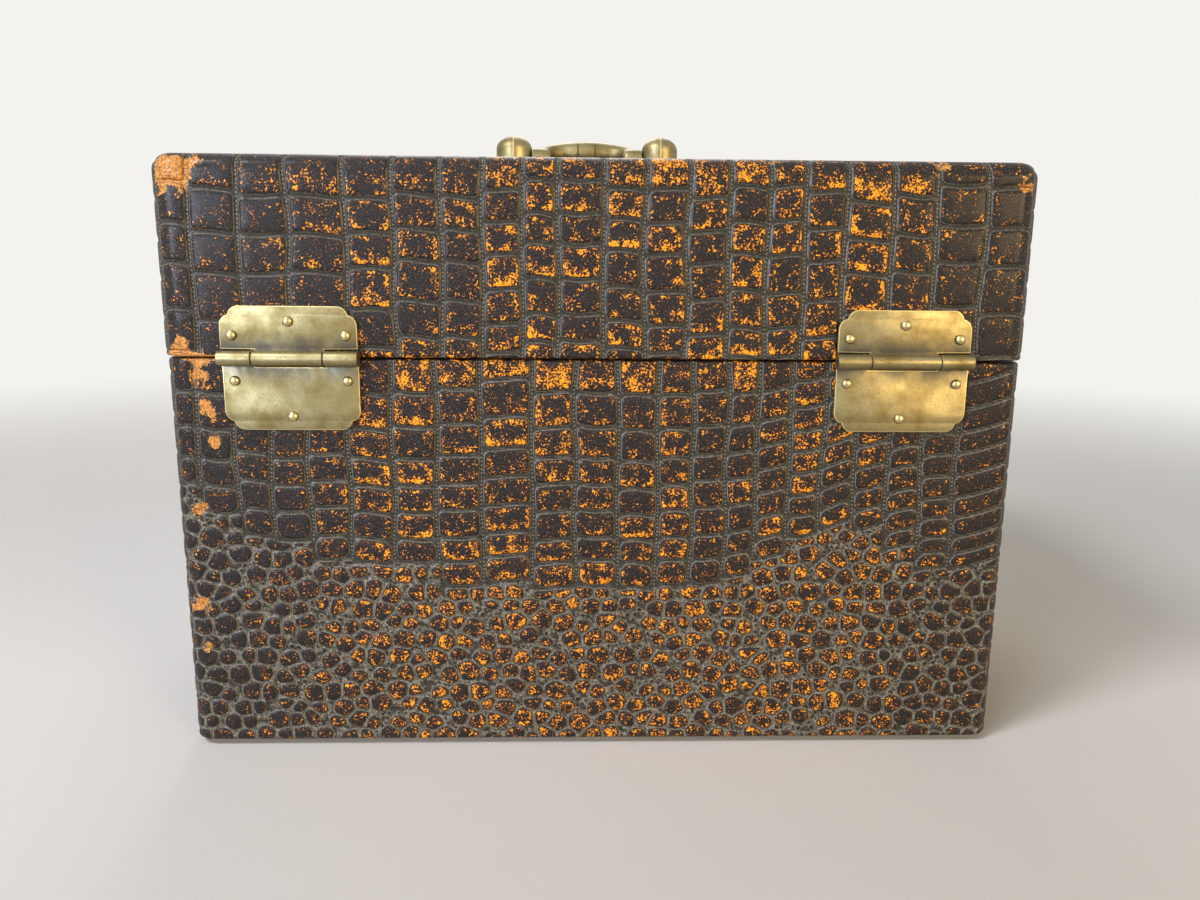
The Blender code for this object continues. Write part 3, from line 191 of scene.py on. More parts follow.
def scales(u, t, lines, high, row_size, tilt, pebble_line, seed):
    """For points (u, t) of a side, in mm: how far inside a scale each lies, negative in a groove,
    the way across to the nearest upright groove, a random value and the height within its scale."""
    rng = np.random.default_rng(seed)
    lines = np.array(lines)
    sway = rng.uniform(0.2, 0.8, len(lines))
    sway[[0, -1]] = 0
    period = rng.uniform(38, 70, len(lines))
    phase = rng.uniform(0, math.tau, len(lines))
    drawn = [x + a * np.sin(math.tau * t / p + f) for x, a, p, f in zip(lines, sway, period, phase)]
    drawn = np.array(drawn)
    column = np.clip((u[None] > drawn).sum(0) - 1, 0, len(lines) - 2)
    pick = np.arange(u.size)
    left = drawn[column, pick]
    right = drawn[column + 1, pick]
    share = np.clip((u - left) / (right - left), 0, 1)
    lane = np.minimum(u - left, right - u)
    inside = np.zeros(u.size)
    chance = np.zeros(u.size)
    rise = np.zeros(u.size)
    flank, owner = pebbles(u, t, seed + 50)
    shared = rng.uniform(0.88, 1.14, 60)
    drift = np.sin(np.cumsum(rng.uniform(-1.3, 1.3, len(lines))))
    for c in range(len(lines) - 1):
        here = column == c
        middle = (lines[c] + lines[c + 1]) / 2
        lean = tilt(middle) * (right - left)[here] * (share[here] - 0.5)
        wave = 0.45 * np.sin(math.tau * (share[here] * rng.uniform(0.5, 0.9) + rng.random()))
        level = t[here] - lean - wave
        edge = high - (0.6 + 0.3 * drift[c]) * row_size(middle, high)
        last = pebble_line(middle) if pebble_line else t.min() - 30
        edges = [high + 40, edge]
        while edges[-1] > last:
            factor = shared[len(edges)] * rng.uniform(0.95, 1.05)
            edges.append(edges[-1] - row_size(middle, edges[-1]) * factor)
        edges = np.array(edges[::-1])
        row = np.clip(np.searchsorted(edges, level), 1, len(edges) - 1)
        low_edge, high_edge = edges[row - 1], edges[row]
        across = lane[here] - LINE_HALF
        along = np.minimum(level - low_edge, high_edge - level) - ROW_HALF
        bend = SCALE_CORNER + (1.8 * np.clip(1 - (level - edges[0]) / 22, 0, 1) if pebble_line else 0)
        corner = bend - np.hypot(np.maximum(bend - across, 0), np.maximum(bend - along, 0))
        square = np.where(np.minimum(across, along) < bend, corner, np.minimum(across, along))
        square = np.where(np.minimum(across, along) < 0, np.minimum(across, along), square)
        below = level < edges[0]
        cut = np.minimum(flank[here], edges[0] - level - ROW_HALF)
        inside[here] = np.where(below, cut, square)
        chance[here] = np.where(below, owner[here], rng.random(len(edges))[row])
        span = np.maximum(high_edge - low_edge, 1)
        rise[here] = np.where(below, 0, np.clip(2 * (level - low_edge) / span - 1, -1, 1))
        lane[here] = np.where(below, 9, lane[here])
    return inside, np.where(u - left < right - u, lane, -lane), chance, rise


def leather_mesh(name, verts, polygons, fields, outward):
    """A closed mesh in metres that carries the pattern's fields and the way out of the hide."""
    mesh = drawn_mesh(name, verts, polygons)
    for field, values in fields.items():
        layer = mesh.attributes.new(field, "FLOAT", "POINT")
        layer.data.foreach_set("value", values.astype(np.float32))
    layer = mesh.attributes.new("outward", "FLOAT_VECTOR", "POINT")
    layer.data.foreach_set("vector", outward.astype(np.float32).ravel())
    bm = bmesh.new()
    bm.from_mesh(mesh)
    if bm.calc_volume(signed=True) < 0:
        bmesh.ops.reverse_faces(bm, faces=bm.faces)
        bm.to_mesh(mesh)
    bm.free()
    return mesh


def new_group(name, **sockets):
    """A Geometry Nodes tree with the given inputs besides its geometry, and those inputs."""
    tree = bpy.data.node_groups.new(name, "GeometryNodeTree")
    for socket, kind in {"Geometry": "Geometry", **sockets}.items():
        tree.interface.new_socket(socket, in_out="INPUT", socket_type=f"NodeSocket{kind}")
    tree.interface.new_socket("Geometry", in_out="OUTPUT", socket_type="NodeSocketGeometry")
    return tree, add(tree, "NodeGroupInput").outputs


def end_group(tree, geometry, finish):
    """End a tree in real geometry with a material on it."""
    real = add(tree, "GeometryNodeRealizeInstances", [geometry])
    made = add(tree, "GeometryNodeSetMaterial", {0: real, "Material": finish})
    add(tree, "NodeGroupOutput", [made])
    return tree


def embossing_tree():
    """Presses the pattern into a hide: grooves go in by Relief over the Shoulder's width, and
    each scale bulges a little towards its middle."""
    sizes = {"Relief": "Float", "Shoulder": "Float", "Bulge": "Float"}
    tree, given = new_group("embossing", **sizes, Leather="Material")
    inside = add(tree, "GeometryNodeInputNamedAttribute", {"Name": "inside"}, data_type="FLOAT")
    out = add(tree, "GeometryNodeInputNamedAttribute", {"Name": "outward"}, data_type="FLOAT_VECTOR")
    pressed = [inside, -0.25, given["Shoulder"], 0.0, given["Relief"]]
    pressed = add(tree, "MapRange", pressed, **SMOOTH)
    domed = add(tree, "MapRange", [inside, 0.0, 4.5, 0.0, given["Bulge"]], **SMOOTH)
    depth = add(tree, "Math", [pressed, given["Relief"]], operation="SUBTRACT")
    depth = add(tree, "Math", [depth, domed], operation="ADD")
    depth = add(tree, "Math", [depth, given["Bulge"]], operation="SUBTRACT")
    move = add(tree, "VectorMath", {0: out, "Scale": depth}, operation="SCALE")
    moved = add(tree, "GeometryNodeSetPosition", {"Geometry": given["Geometry"], "Offset": move})
    return end_group(tree, moved, given["Leather"])


def stand(name, data):
    """A new object in the scene."""
    piece = bpy.data.objects.new(name, data)
    bpy.context.scene.collection.objects.link(piece)
    return piece


def drawn_mesh(name, verts, faces=(), edges=()):
    """A mesh in metres from points in mm."""
    mesh = bpy.data.meshes.new(name)
    mesh.from_pydata((np.asarray(verts, float) * MM).tolist(), list(edges), list(faces))
    return mesh


def settle(piece):
    """Turn an object and its modifiers into a plain mesh."""
    graph = bpy.context.evaluated_depsgraph_get()
    mesh = bpy.data.meshes.new_from_object(piece.evaluated_get(graph))
    mesh.name = piece.name
    bpy.data.objects.remove(piece)
    return mesh


def grown(mesh, tree, values):
    """The mesh that a Geometry Nodes tree makes of another, its inputs set by their names."""
    piece = stand(mesh.name, mesh)
    modifier = piece.modifiers.new(tree.name, "NODES")
    modifier.node_group = tree
    for socket in tree.interface.items_tree:
        if socket.in_out == "INPUT" and socket.name in values:
            modifier[socket.identifier] = values[socket.name]
    return settle(piece)


def present(name, mesh, body, stands_for=(), finish=None, sharp=35):
    """Show a finished mesh as a piece that rides on a body and stands for CAD nodes."""
    if finish:
        mesh.materials.clear()
        mesh.materials.append(finish)
    mesh.shade_smooth()
    mesh.set_sharp_from_angle(angle=math.radians(sharp))
    piece = stand(name, mesh)
    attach(piece, body)
    if stands_for:
        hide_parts(*stands_for)
    return piece


# Embossed calf, antiqued: a near-black glaze on the raised scales, rubbed through to orange in flecks
# of about 0.7 mm, taupe on their shoulders with a painted highlight along the rims, painted shade in the
# creases, and beads every 1.5 mm with painted highlights on their tops.
BEAD_PITCH = 0.75
leather, tree, shader, place = new_finish(
    "embossed_calf", {"Specular IOR Level": 0.19, "Coat Weight": 0.14, "Coat Roughness": 0.2}
)
inside, lane, across, run, fleck, wear = (
    add(tree, "Attribute", attribute_name=field).outputs["Fac"]
    for field in ("inside", "lane", "across", "run", "fleck", "wear")
)
patchy = add(tree, "TexNoise", {"Vector": place, "Scale": 55.0, "Detail": 3.0})
cloudy = add(tree, "TexNoise", {"Vector": place, "Scale": 260.0, "Detail": 3.0})
fine = add(tree, "TexNoise", {"Vector": place, "Scale": 1250.0, "Detail": 4.0, "Roughness": 0.65})
grain = add(tree, "TexNoise", {"Vector": place, "Scale": 2300.0, "Detail": 2.0})
top = add(tree, "MapRange", [inside, 0.15, 0.6], **SMOOTH)
mottled = add(tree, "MapRange", [grain, 0.38, 0.64])
groove_colour = add(tree, "Mix", {0: mottled, 6: "#3b3832", 7: "#7d786c"}, data_type="RGBA")
top_colour = add(tree, "Mix", {0: mottled, 6: "#060504", 7: "#262020"}, data_type="RGBA")
glazed = add(tree, "Mix", {0: top, 6: groove_colour, 7: top_colour}, data_type="RGBA")
# Painted highlight: a pale band along each scale's rim stands in for the lamps' glint on the shoulder, and
# is partly a lighter rubbed rim as well.
edge = add(tree, "Math", [inside, -0.24], operation="ADD")
edge = add(tree, "Math", [edge], operation="ABSOLUTE")
edge = add(tree, "MapRange", [edge, 0.03, 0.24, 0.5, 0.0], **SMOOTH)
edge = add(tree, "Math", [edge, mottled], operation="MULTIPLY")
specks = add(tree, "Math", [fine, grain], operation="ADD")
specks = add(tree, "MapRange", [specks, 1.19, 1.24, 0.0, 0.75])
specks = add(tree, "Math", [specks, top], operation="MULTIPLY")
# Painted shade: a dark line along the bottom of each groove, where shade falls between the scales.
line = add(tree, "MapRange", [inside, -0.22, 0.1, 0.8, 0.0], **SMOOTH)
for share, code in ((edge, "#ada793"), (specks, "#96664a"), (line, "#181510")):
    glazed = add(tree, "Mix", {0: share, 6: glazed, 7: code}, data_type="RGBA")
mixed = add(tree, "Math", [fine, 0.54], operation="MULTIPLY")
mixed = add(tree, "Math", [cloudy, 0.31, mixed], operation="MULTIPLY_ADD")
mixed = add(tree, "Math", [grain, 0.15, mixed], operation="MULTIPLY_ADD")
limit = add(tree, "Math", [fleck, -0.053, 0.589], operation="MULTIPLY_ADD")
over = add(tree, "Math", [mixed, limit], operation="SUBTRACT")
rubbed = add(tree, "MapRange", [over, 0.0, 0.008])
core = add(tree, "MapRange", [over, 0.006, 0.035])
on_top = add(tree, "MapRange", [inside, 0.6, 1.05], **SMOOTH)
rubbed = add(tree, "Math", [rubbed, on_top], operation="MULTIPLY")
orange = add(tree, "Mix", {0: core, 6: "#8a4519", 7: "#fba31e"}, data_type="RGBA")
flecked = add(tree, "Mix", {0: rubbed, 6: glazed, 7: orange}, data_type="RGBA")
worn = add(tree, "Mix", {0: 0.6, 2: patchy, 3: cloudy})
worn = add(tree, "Math", [wear, worn], operation="MULTIPLY")
worn = add(tree, "Math", [fine, 0.35, worn], operation="MULTIPLY_ADD")
worn = add(tree, "MapRange", [worn, 0.68, 0.74, 0.0, 0.92])
tanned = add(tree, "MapRange", [fine, 0.36, 0.62])
tanned = add(tree, "Mix", {0: tanned, 6: "#935420", 7: "#e6a350"}, data_type="RGBA")
bare = add(tree, "Mix", {0: worn, 6: flecked, 7: tanned}, data_type="RGBA")
step = add(tree, "Math", [run, 1.0 / BEAD_PITCH], operation="MULTIPLY")
step = add(tree, "Math", [step, 1.0], operation="PINGPONG")
step = add(tree, "Math", [step, BEAD_PITCH], operation="MULTIPLY")
spot = add(tree, "CombineXYZ", [across, step])
spot = add(tree, "VectorMath", [spot], operation="LENGTH").outputs["Value"]
beads = add(tree, "MapRange", [spot, 0.15, 0.42, 1.0, 0.0], **SMOOTH)
in_lane = add(tree, "Math", [lane, 1.0], operation="LESS_THAN")
beads = add(tree, "Math", [beads, in_lane], operation="MULTIPLY")
# Painted highlight: the tops of the beads are painted pale, standing in for their glints.
final = add(tree, "Mix", {0: beads, 6: bare, 7: "#8f8979"}, data_type="RGBA")
crease = add(tree, "TexNoise", {"Vector": place, "Scale": 420.0, "Detail": 4.0, "Distortion": 0.6})
height = add(tree, "Math", [grain, 2.2, crease], operation="MULTIPLY_ADD")
height = add(tree, "Math", [beads, 3.0, height], operation="MULTIPLY_ADD")
grained = add(tree, "Bump", {"Height": height, "Distance": 0.00018})
shoulder = add(tree, "MapRange", [inside, -0.25, 0.5], **SMOOTH)
bump = add(tree, "Bump", {"Height": shoulder, "Distance": 0.0007, "Normal": grained})
gloss = add(tree, "MapRange", {0: top, 3: 0.38, 4: 0.31})
gloss = add(tree, "Math", [cloudy, 0.14, gloss], operation="MULTIPLY_ADD")
give(tree, shader, {"Base Color": final, "Normal": bump, "Roughness": gloss})

embossing = embossing_tree()
hide_values = {"Relief": RELIEF * MM, "Shoulder": SHOULDER, "Bulge": BULGE * MM, "Leather": leather}


def hide(name, verts, polygons, fields, outward):
    """A pressed hide, made from its flat grid and its pattern."""
    mesh = leather_mesh(name, verts, polygons, fields, outward)
    mesh = grown(mesh, embossing, hide_values)
    mesh.attributes.remove(mesh.attributes["outward"])
    return mesh


def arc(centre, radius, start, end, count):
    """Points on an arc, its angles in degrees."""
    angles = np.radians(np.linspace(start, end, count))
    return [(centre[0] + radius * math.cos(a), centre[1] + radius * math.sin(a)) for a in angles]


def hide_profile(outer, inner, pressed):
    """The closed loop of a length of leather as rows of (inset, height, weight, tilt, run).

    The outer points go up the hide as (inset, height). The run is the height on the upright wall
    and goes on along the turned edges. The pattern is pressed in over the given part of the run."""
    points = np.array(outer)
    steps = np.hypot(*np.diff(points, axis=0).T)
    run = np.concatenate([[0], np.cumsum(steps)])
    wall = np.flatnonzero(points[:, 0] < 1e-6)[0]
    run += points[wall, 1] - run[wall]
    slope = np.gradient(points, axis=0)
    tilt = np.arctan2(slope[:, 0], slope[:, 1])
    weight = np.clip((run - pressed[0]) / 2, 0, 1) * np.clip((pressed[1] - run) / 2, 0, 1)
    rows = np.column_stack([points, weight, tilt, run])
    rest = [(inset, level, 0, 0, run[-1] + 3) for inset, level in inner]
    return np.vstack([rows, rest])


def wrapped_side(name, side, half, corner, profile, step, pattern):
    """One length of leather round a side of a box, from the middle of one corner to the next."""
    along_x = side in ("back", "front")
    half_along, half_out = half if along_x else half[::-1]
    flat = half_along - corner
    reach = flat + corner * math.pi / 4
    u = np.linspace(-reach, reach, 2 * round(reach / step) + 1)
    turn = np.clip(np.abs(u) - flat, 0, None) / corner
    along = np.sign(u) * (np.minimum(np.abs(u), flat) + corner * np.sin(turn))
    out = half_out - corner + corner * np.cos(turn)
    sideways, outwards = np.sign(u) * np.sin(turn), np.cos(turn)
    inset, level, weight, tilt, run = profile.T
    wide = along[:, None] - inset * sideways[:, None]
    deep = out[:, None] - inset * outwards[:, None]
    sign = 1 if side in ("back", "right") else -1
    ways = [sideways[:, None] * np.cos(tilt), sign * outwards[:, None] * np.cos(tilt)]
    places = [wide, sign * deep]
    if not along_x:
        ways.reverse()
        places.reverse()
    high = np.broadcast_to(level, wide.shape)
    upward = np.broadcast_to(np.sin(tilt), wide.shape)
    verts = np.stack([places[0], places[1] + CASE_CENTRE_Y, high], -1).reshape(-1, 3)
    pressed = weight * (1 - 0.6 * np.minimum(turn / 0.5, 1))[:, None]
    outward = (np.stack([*ways, upward], -1) * pressed[:, :, None]).reshape(-1, 3)
    n, m = wide.shape
    index = np.arange(n * m).reshape(n, m)
    after = np.roll(index, -1, 1)
    faces = np.stack([index[:-1], index[1:], after[1:], after[:-1]], -1).reshape(-1, 4).tolist()
    faces += [index[0].tolist(), index[-1][::-1].tolist()]
    fields = pattern(np.repeat(u, m), np.tile(run, n), reach)
    return hide(name, verts, faces, fields, outward)


def flecks(t, inside, across, chance, rise, amount):
    """The fields that the leather's finish reads. `lane` is `across` without its sign, since `across`
    jumps in the middle of a scale."""
    middle = np.clip((inside - 1.8) / 2.2, 0, 1) * np.clip(rise + 0.9, 0, 1)
    fleck = amount * (0.5 + chance) * (1 - 0.25 * rise) * (1 - 0.8 * middle)
    return {"inside": inside, "lane": np.abs(across), "across": across, "run": t.ravel(), "fleck": fleck}


def base_rows(x, z):
    """Scales of the base get shorter towards the foot, and towards the left in the photograph."""
    size = 9.2 + 5.0 * np.clip((z - 85) / 60, 0, 1)
    return size * (1 - 0.28 * np.clip((-x - 40) / 40, 0, 1))


def lid_rows(x, z):
    return 11.0 + 3.6 * np.clip(abs(x) / 140, 0, 1) ** 1.5


def back_tilt(x):
    return -0.24 * np.clip((-x - 35) / 50, 0, 1) + 0.08 * np.clip((x - 60) / 60, 0, 1)


def back_amount(u):
    """Less of the glaze is rubbed off towards the two ends of the back."""
    return 1.0 - 0.75 * np.clip((np.abs(u + 8) - 85) / 60, 0, 1)


def pebble_height(x):
    return float(np.interp(x, *zip(*PEBBLE_LINE)))


# Patches on the back where the hide is worn bare: (across, height, reach)
BASE_WEAR = ((145, 146, 8), (143, 133, 6), (141, 121, 5), (149, 96, 7), (151, 58, 8), (149, 42, 6))
LID_WEAR = ((150, 214, 12), (-152, 216, 7), (151, 158, 6), (-120, 223, 9), (-60, 224, 6))


def patches(u, t, places):
    return sum(np.exp(-((u - x) ** 2 + (t - z) ** 2) / reach**2) for x, z, reach in places)


def base_back_pattern(u, t, reach):
    lines = (-reach, *BASE_LINES, reach)
    found = scales(u, t, lines, 151.6, base_rows, back_tilt, pebble_height, 11)
    fields = flecks(t, *found, back_amount(u))
    wear = np.exp(-np.abs(t - 152) / 1.5) * (0.55 + 0.35 * np.clip(u / 150, -1, 1))
    return fields | {"wear": wear + 1.25 * patches(u, t, BASE_WEAR)}


def lid_back_pattern(u, t, reach):
    lines = (-reach, *LID_LINES, reach)
    found = scales(u, t, lines, 219.5, lid_rows, lambda x: 0.03, None, 12)
    kept_dark = np.clip((t - 215) / 4, 0, 1) * np.clip((np.abs(u + 8) - 30) / 60, 0, 1)
    fields = flecks(t, *found, back_amount(u) * (1 - 0.8 * kept_dark))
    wear = (0.7 + 0.9 * np.clip((u - 105) / 10, 0, 1)) * np.exp(-np.abs(t - LID_LOW) / 1.7)
    wear += 0.8 * np.exp(-np.abs(t - 221) / 3) * (u > 90)
    return fields | {"wear": wear + 1.2 * patches(u, t, LID_WEAR)}


def other_lines(reach, seed):
    """Grooves every 14 to 18 mm on the sides that the photograph doesn't show."""
    count = round(2 * reach / 15.8)
    spread = np.random.default_rng(seed).uniform(-1.6, 1.6, count - 1)
    return (-reach, *(np.linspace(-reach, reach, count + 1)[1:-1] + spread), reach)


def side_pattern(seed, high, split, row_size, lean, pebbled):
    """The pattern of a side that the photograph doesn't show."""

    def pattern(u, t, reach):
        foot = np.random.default_rng(seed + 1).uniform(70, 92, 9)
        at = np.linspace(-reach, reach, 9)
        flank = (lambda x: float(np.interp(x, at, foot))) if pebbled else None
        lines = other_lines(reach, seed)
        found = scales(u, t, lines, high, row_size, lambda x: lean, flank, seed)
        edge = np.exp(-np.abs(t - split) / 1.5) + 0.8 * np.exp(-np.abs(np.abs(u) - reach) / 4)
        return flecks(t, *found, 0.75) | {"wear": 0.7 * edge}

    return pattern


def base_profile(step):
    low, high = BASE_LOW, BASE_HIGH
    outer = [(inset, low) for inset in (7.9, 6.0, 4.0, 2.6)]
    outer += arc((1.5, low + 1.5), 1.5, 270, 180, 5)
    outer += [(0, z) for z in np.linspace(low + 1.5, high - 1.3, round((high - low - 2.8) / step))[1:-1]]
    outer += arc((1.3, high - 1.3), 1.3, 180, 90, 5)
    outer += [(inset, high) for inset in (2.2, 3.2, 4.2, 5.2)]
    inner = [(TURNED_EDGE, high - 0.1), (TURNED_EDGE, high - 0.2), (4.0, high - 0.25), (1.4, high - 0.25)]
    inner += [(COVER, z) for z in np.linspace(high - 0.6, low + 1.6, 7)]
    inner += [(1.6, low + 1.1), (4.0, low + 1.0), (7.9, low + 1.0)]
    return hide_profile(outer, inner, (low + 0.5, high - 0.4))


def lid_profile(step):
    low, high, bend = LID_LOW, LID_HIGH, 6.0
    outer = [(inset, low) for inset in (5.2, 4.2, 3.2, 2.2)]
    outer += arc((1.3, low + 1.3), 1.3, 270, 180, 5)
    outer += [(0, z) for z in np.linspace(low + 1.3, high - bend, round((high - low - 7.3) / step))[1:-1]]
    outer += arc((bend, high - bend), bend, 180, 90, 13)
    outer += [(6.5, high - 0.08), (6.9, high - 0.3), (7.2, high - 1.1), (8.6, high - 1.15)]
    inner = [(8.6, high - 1.3), (7.0, high - 1.3)] + arc((bend, high - bend), bend - COVER, 95, 175, 6)
    inner += [(COVER, z) for z in np.linspace(high - bend - 0.5, low + 0.8, 6)]
    inner += [(1.4, low + 0.25), (4.0, low + 0.25), (TURNED_EDGE, low + 0.2), (TURNED_EDGE, low + 0.1)]
    return hide_profile(outer, inner, (low + 0.4, high + 3.0))


BASE_HALF, BASE_CORNER = (158.3, 106.8), 8.3
LID_HALF, LID_CORNER = (159.0, 107.5), 9.0
# The other sides: the top row's edge, the split, the rows, their lean, and if they have a flank
base_side = (151.6, 152, base_rows, 0.05, True)
lid_side = (225, LID_LOW, lid_rows, -0.03, False)
for body, half, corner, profile, back_step, back, others, seed in (
    ("base", BASE_HALF, BASE_CORNER, base_profile, 0.76, base_back_pattern, base_side, 21),
    ("lid", LID_HALF, LID_CORNER, lid_profile, 0.6, lid_back_pattern, lid_side, 31),
):
    for number, side in enumerate(("back", "front", "left", "right")):
        pattern = side_pattern(seed + number - 1, *others) if number else back
        step = 0.95 if number else back_step
        name = f"{body}_leather_{side}"
        mesh = wrapped_side(name, side, half, corner, profile(step), step, pattern)
        stands_for = () if number else (f"{body}_cover",)
        present(name, mesh, body, stands_for, sharp=60)

# The panel on the lid follows its crown and lies flush between the turned edges of the sides.
PANEL_HALF = (151.8, 100.3)
CROWN = 228.0 - LID_HIGH


def crown_height(x, y):
    return CROWN * (1 - np.minimum(1, (x / 153) ** 2)) * (1 - np.minimum(1, (y / 101.5) ** 2))


def lid_panel(step):
    half_x, half_y = PANEL_HALF
    inner_x = np.linspace(-half_x + 0.6, half_x - 0.6, round(2 * half_x / step))
    inner_y = np.linspace(-half_y + 0.6, half_y - 0.6, round(2 * half_y / step))
    rim_x = np.concatenate([[-half_x, -half_x + 0.15], inner_x, [half_x - 0.15, half_x]])
    rim_y = np.concatenate([[-half_y, -half_y + 0.15], inner_y, [half_y - 0.15, half_y]])
    x, y = np.meshgrid(rim_x, rim_y, indexing="ij")
    margin = np.minimum(half_x - np.abs(x), half_y - np.abs(y))
    level = LID_HIGH + crown_height(x, y) - np.interp(margin, [0, 0.15, 0.6], [0.45, 0.15, 0])
    under = LID_HIGH + crown_height(x, y) - 1.1
    n, m = x.shape
    verts = np.concatenate(
        [np.stack([x, y + CASE_CENTRE_Y, z], -1).reshape(-1, 3) for z in (level, under)]
    )
    top = np.arange(n * m).reshape(n, m)
    low = top + n * m
    faces = np.stack([top[:-1, :-1], top[1:, :-1], top[1:, 1:], top[:-1, 1:]], -1).reshape(-1, 4)
    bottom = np.stack([low[:-1, :-1], low[:-1, 1:], low[1:, 1:], low[1:, :-1]], -1).reshape(-1, 4)
    ring = np.concatenate([top[:-1, 0], top[-1, :-1], top[:0:-1, -1], top[0, :0:-1]])
    after = np.roll(ring, -1)
    wall = np.stack([ring, ring + n * m, after + n * m, after], -1)
    polygons = faces.tolist() + bottom.tolist() + wall.tolist()
    outward = np.zeros_like(verts)
    outward[: n * m, 2] = np.clip((margin.ravel() - 0.8) / 1.5, 0, 1)
    lines = (-half_x, *LID_LINES, half_x)
    found = scales(x.ravel(), y.ravel(), lines, half_y + 4, lambda a, b: 14.5, lambda a: 0.02, None, 41)
    fields = flecks(y, *found, 0.8) | {"wear": 0.5 * np.exp(-margin.ravel() / 2)}
    fields = {field: np.tile(values, 2) for field, values in fields.items()}
    return hide("lid_leather_top", verts, polygons, fields, outward)


present("lid_leather_top", lid_panel(1.13), "lid", sharp=60)

# Underside. Plain black bookcloth is glued over the turned edges under the base.
PANEL_INSET = 5.0


def mended(mesh, weld=0.0):
    """The mesh with its faces turned outwards, and points closer than `weld` metres merged."""
    bm = bmesh.new()
    bm.from_mesh(mesh)
    if weld:
        bmesh.ops.remove_doubles(bm, verts=bm.verts, dist=weld)
    bmesh.ops.recalc_face_normals(bm, faces=bm.faces)
    bm.to_mesh(mesh)
    bm.free()
    return mesh


def flat_outline(name, outlines, thickness, edge, place):
    """A plate drawn as closed outlines in mm, inner ones are holes, its edges rounded by `edge`."""
    curve = bpy.data.curves.new(name, "CURVE")
    curve.dimensions = "2D"
    curve.fill_mode = "BOTH"
    curve.extrude = (thickness / 2 - edge) * MM
    curve.bevel_depth = edge * MM
    curve.bevel_resolution = 1
    curve.offset = -edge * MM
    for outline in outlines:
        spline = curve.splines.new("POLY")
        spline.points.add(len(outline) - 1)
        for point, (u, v) in zip(spline.points, outline):
            point.co = (u * MM, v * MM, 0, 1)
        spline.use_cyclic_u = True
    mesh = settle(stand(name, curve))
    bpy.data.curves.remove(curve)
    mesh.transform(place)
    return mended(mesh, weld=1e-6)


def placed(x, y, z, columns=((1, 0, 0), (0, 1, 0), (0, 0, 1))):
    """A place in mm and the ways that the drawing's three axes point."""
    place = Matrix(columns).transposed().to_4x4()
    place.translation = Vector((x, y, z)) * MM
    return place


SEEN_FROM_BACK = ((1, 0, 0), (0, 0, 1), (0, -1, 0))
SEEN_FROM_SIDE = ((0, -1, 0), (0, 0, 1), (-1, 0, 0))

# Bookcloth: black cotton filled with starch, dull, a plain weave 0.5 mm apart.
bookcloth = speckled(
    "bookcloth", {"Roughness": 0.8}, "TexVoronoi", {"Scale": 1800.0}, ("#14120f", "#2c2822"), depth=0.00008
)
half_x, half_y = (half - PANEL_INSET for half in BASE_HALF)
outline = []
for sx, sy, start in ((1, 1, 0), (-1, 1, 90), (-1, -1, 180), (1, -1, 270)):
    outline += arc((sx * (half_x - 3), sy * (half_y - 3)), 3, start, start + 90, 6)
mesh = flat_outline("base_bookcloth", [outline], 0.3, 0.1, placed(0, CASE_CENTRE_Y, 2.16))
present("base_bookcloth", mesh, "base", finish=bookcloth)

# Linings. A twilled cotton cloth is glued into both boxes, gathered into soft upright folds on the
# walls of the base, and it is turned over the rim that stands out of the base and guides the lid.
CLOTH_THREAD = 0.0009
WELT = 1.6

# Lining twill: soft, matt, its diagonal ribs 0.9 mm apart, faded in large soft patches.
twill, tree, shader, place = new_finish(
    "cotton_twill", {"Roughness": 0.9, "Sheen Weight": 0.25, "Specular IOR Level": 0.25}
)
ribs = {"Vector": place, "Scale": 0.31 / CLOTH_THREAD, "Distortion": 0.6, "Detail": 1.0}
ribs = add(tree, "TexWave", ribs, bands_direction="DIAGONAL").outputs["Fac"]
fade = add(tree, "TexNoise", {"Vector": place, "Scale": 28.0, "Detail": 3.0})
light = add(tree, "Mix", {0: fade, 6: "#7a4a26", 7: "#a8703e"}, data_type="RGBA")
dark = add(tree, "Mix", {0: ribs, 6: "#4d2c17", 7: light}, data_type="RGBA")
bump = add(tree, "Bump", {"Height": ribs, "Distance": 0.00015})
give(tree, shader, {"Base Color": dark, "Normal": bump})


def round_about(half, corner, counts):
    """Points round a rectangle with round corners, in mm, and the way out at each of them."""
    spots, ways = [], []
    turns = ((1, 1), (-1, 1), (-1, -1), (1, -1))
    corner = max(corner, 0.3)
    for k, (sx, sy) in enumerate(turns):
        angles = np.radians(90 * k + np.linspace(0, 90, 9))
        way = np.stack([np.cos(angles), np.sin(angles)], -1)
        centre = np.array([sx * (half[0] - corner), sy * (half[1] - corner)])
        nx, ny = turns[(k + 1) % 4]
        ahead = np.array([nx * (half[0] - corner), ny * (half[1] - corner)]) - centre
        share = np.arange(1, counts[k % 2])[:, None] / counts[k % 2]
        spots += [centre + corner * way, centre + corner * way[-1] + share * ahead]
        ways += [way, np.tile(way[-1], (counts[k % 2] - 1, 1))]
    return np.concatenate(spots), np.concatenate(ways)


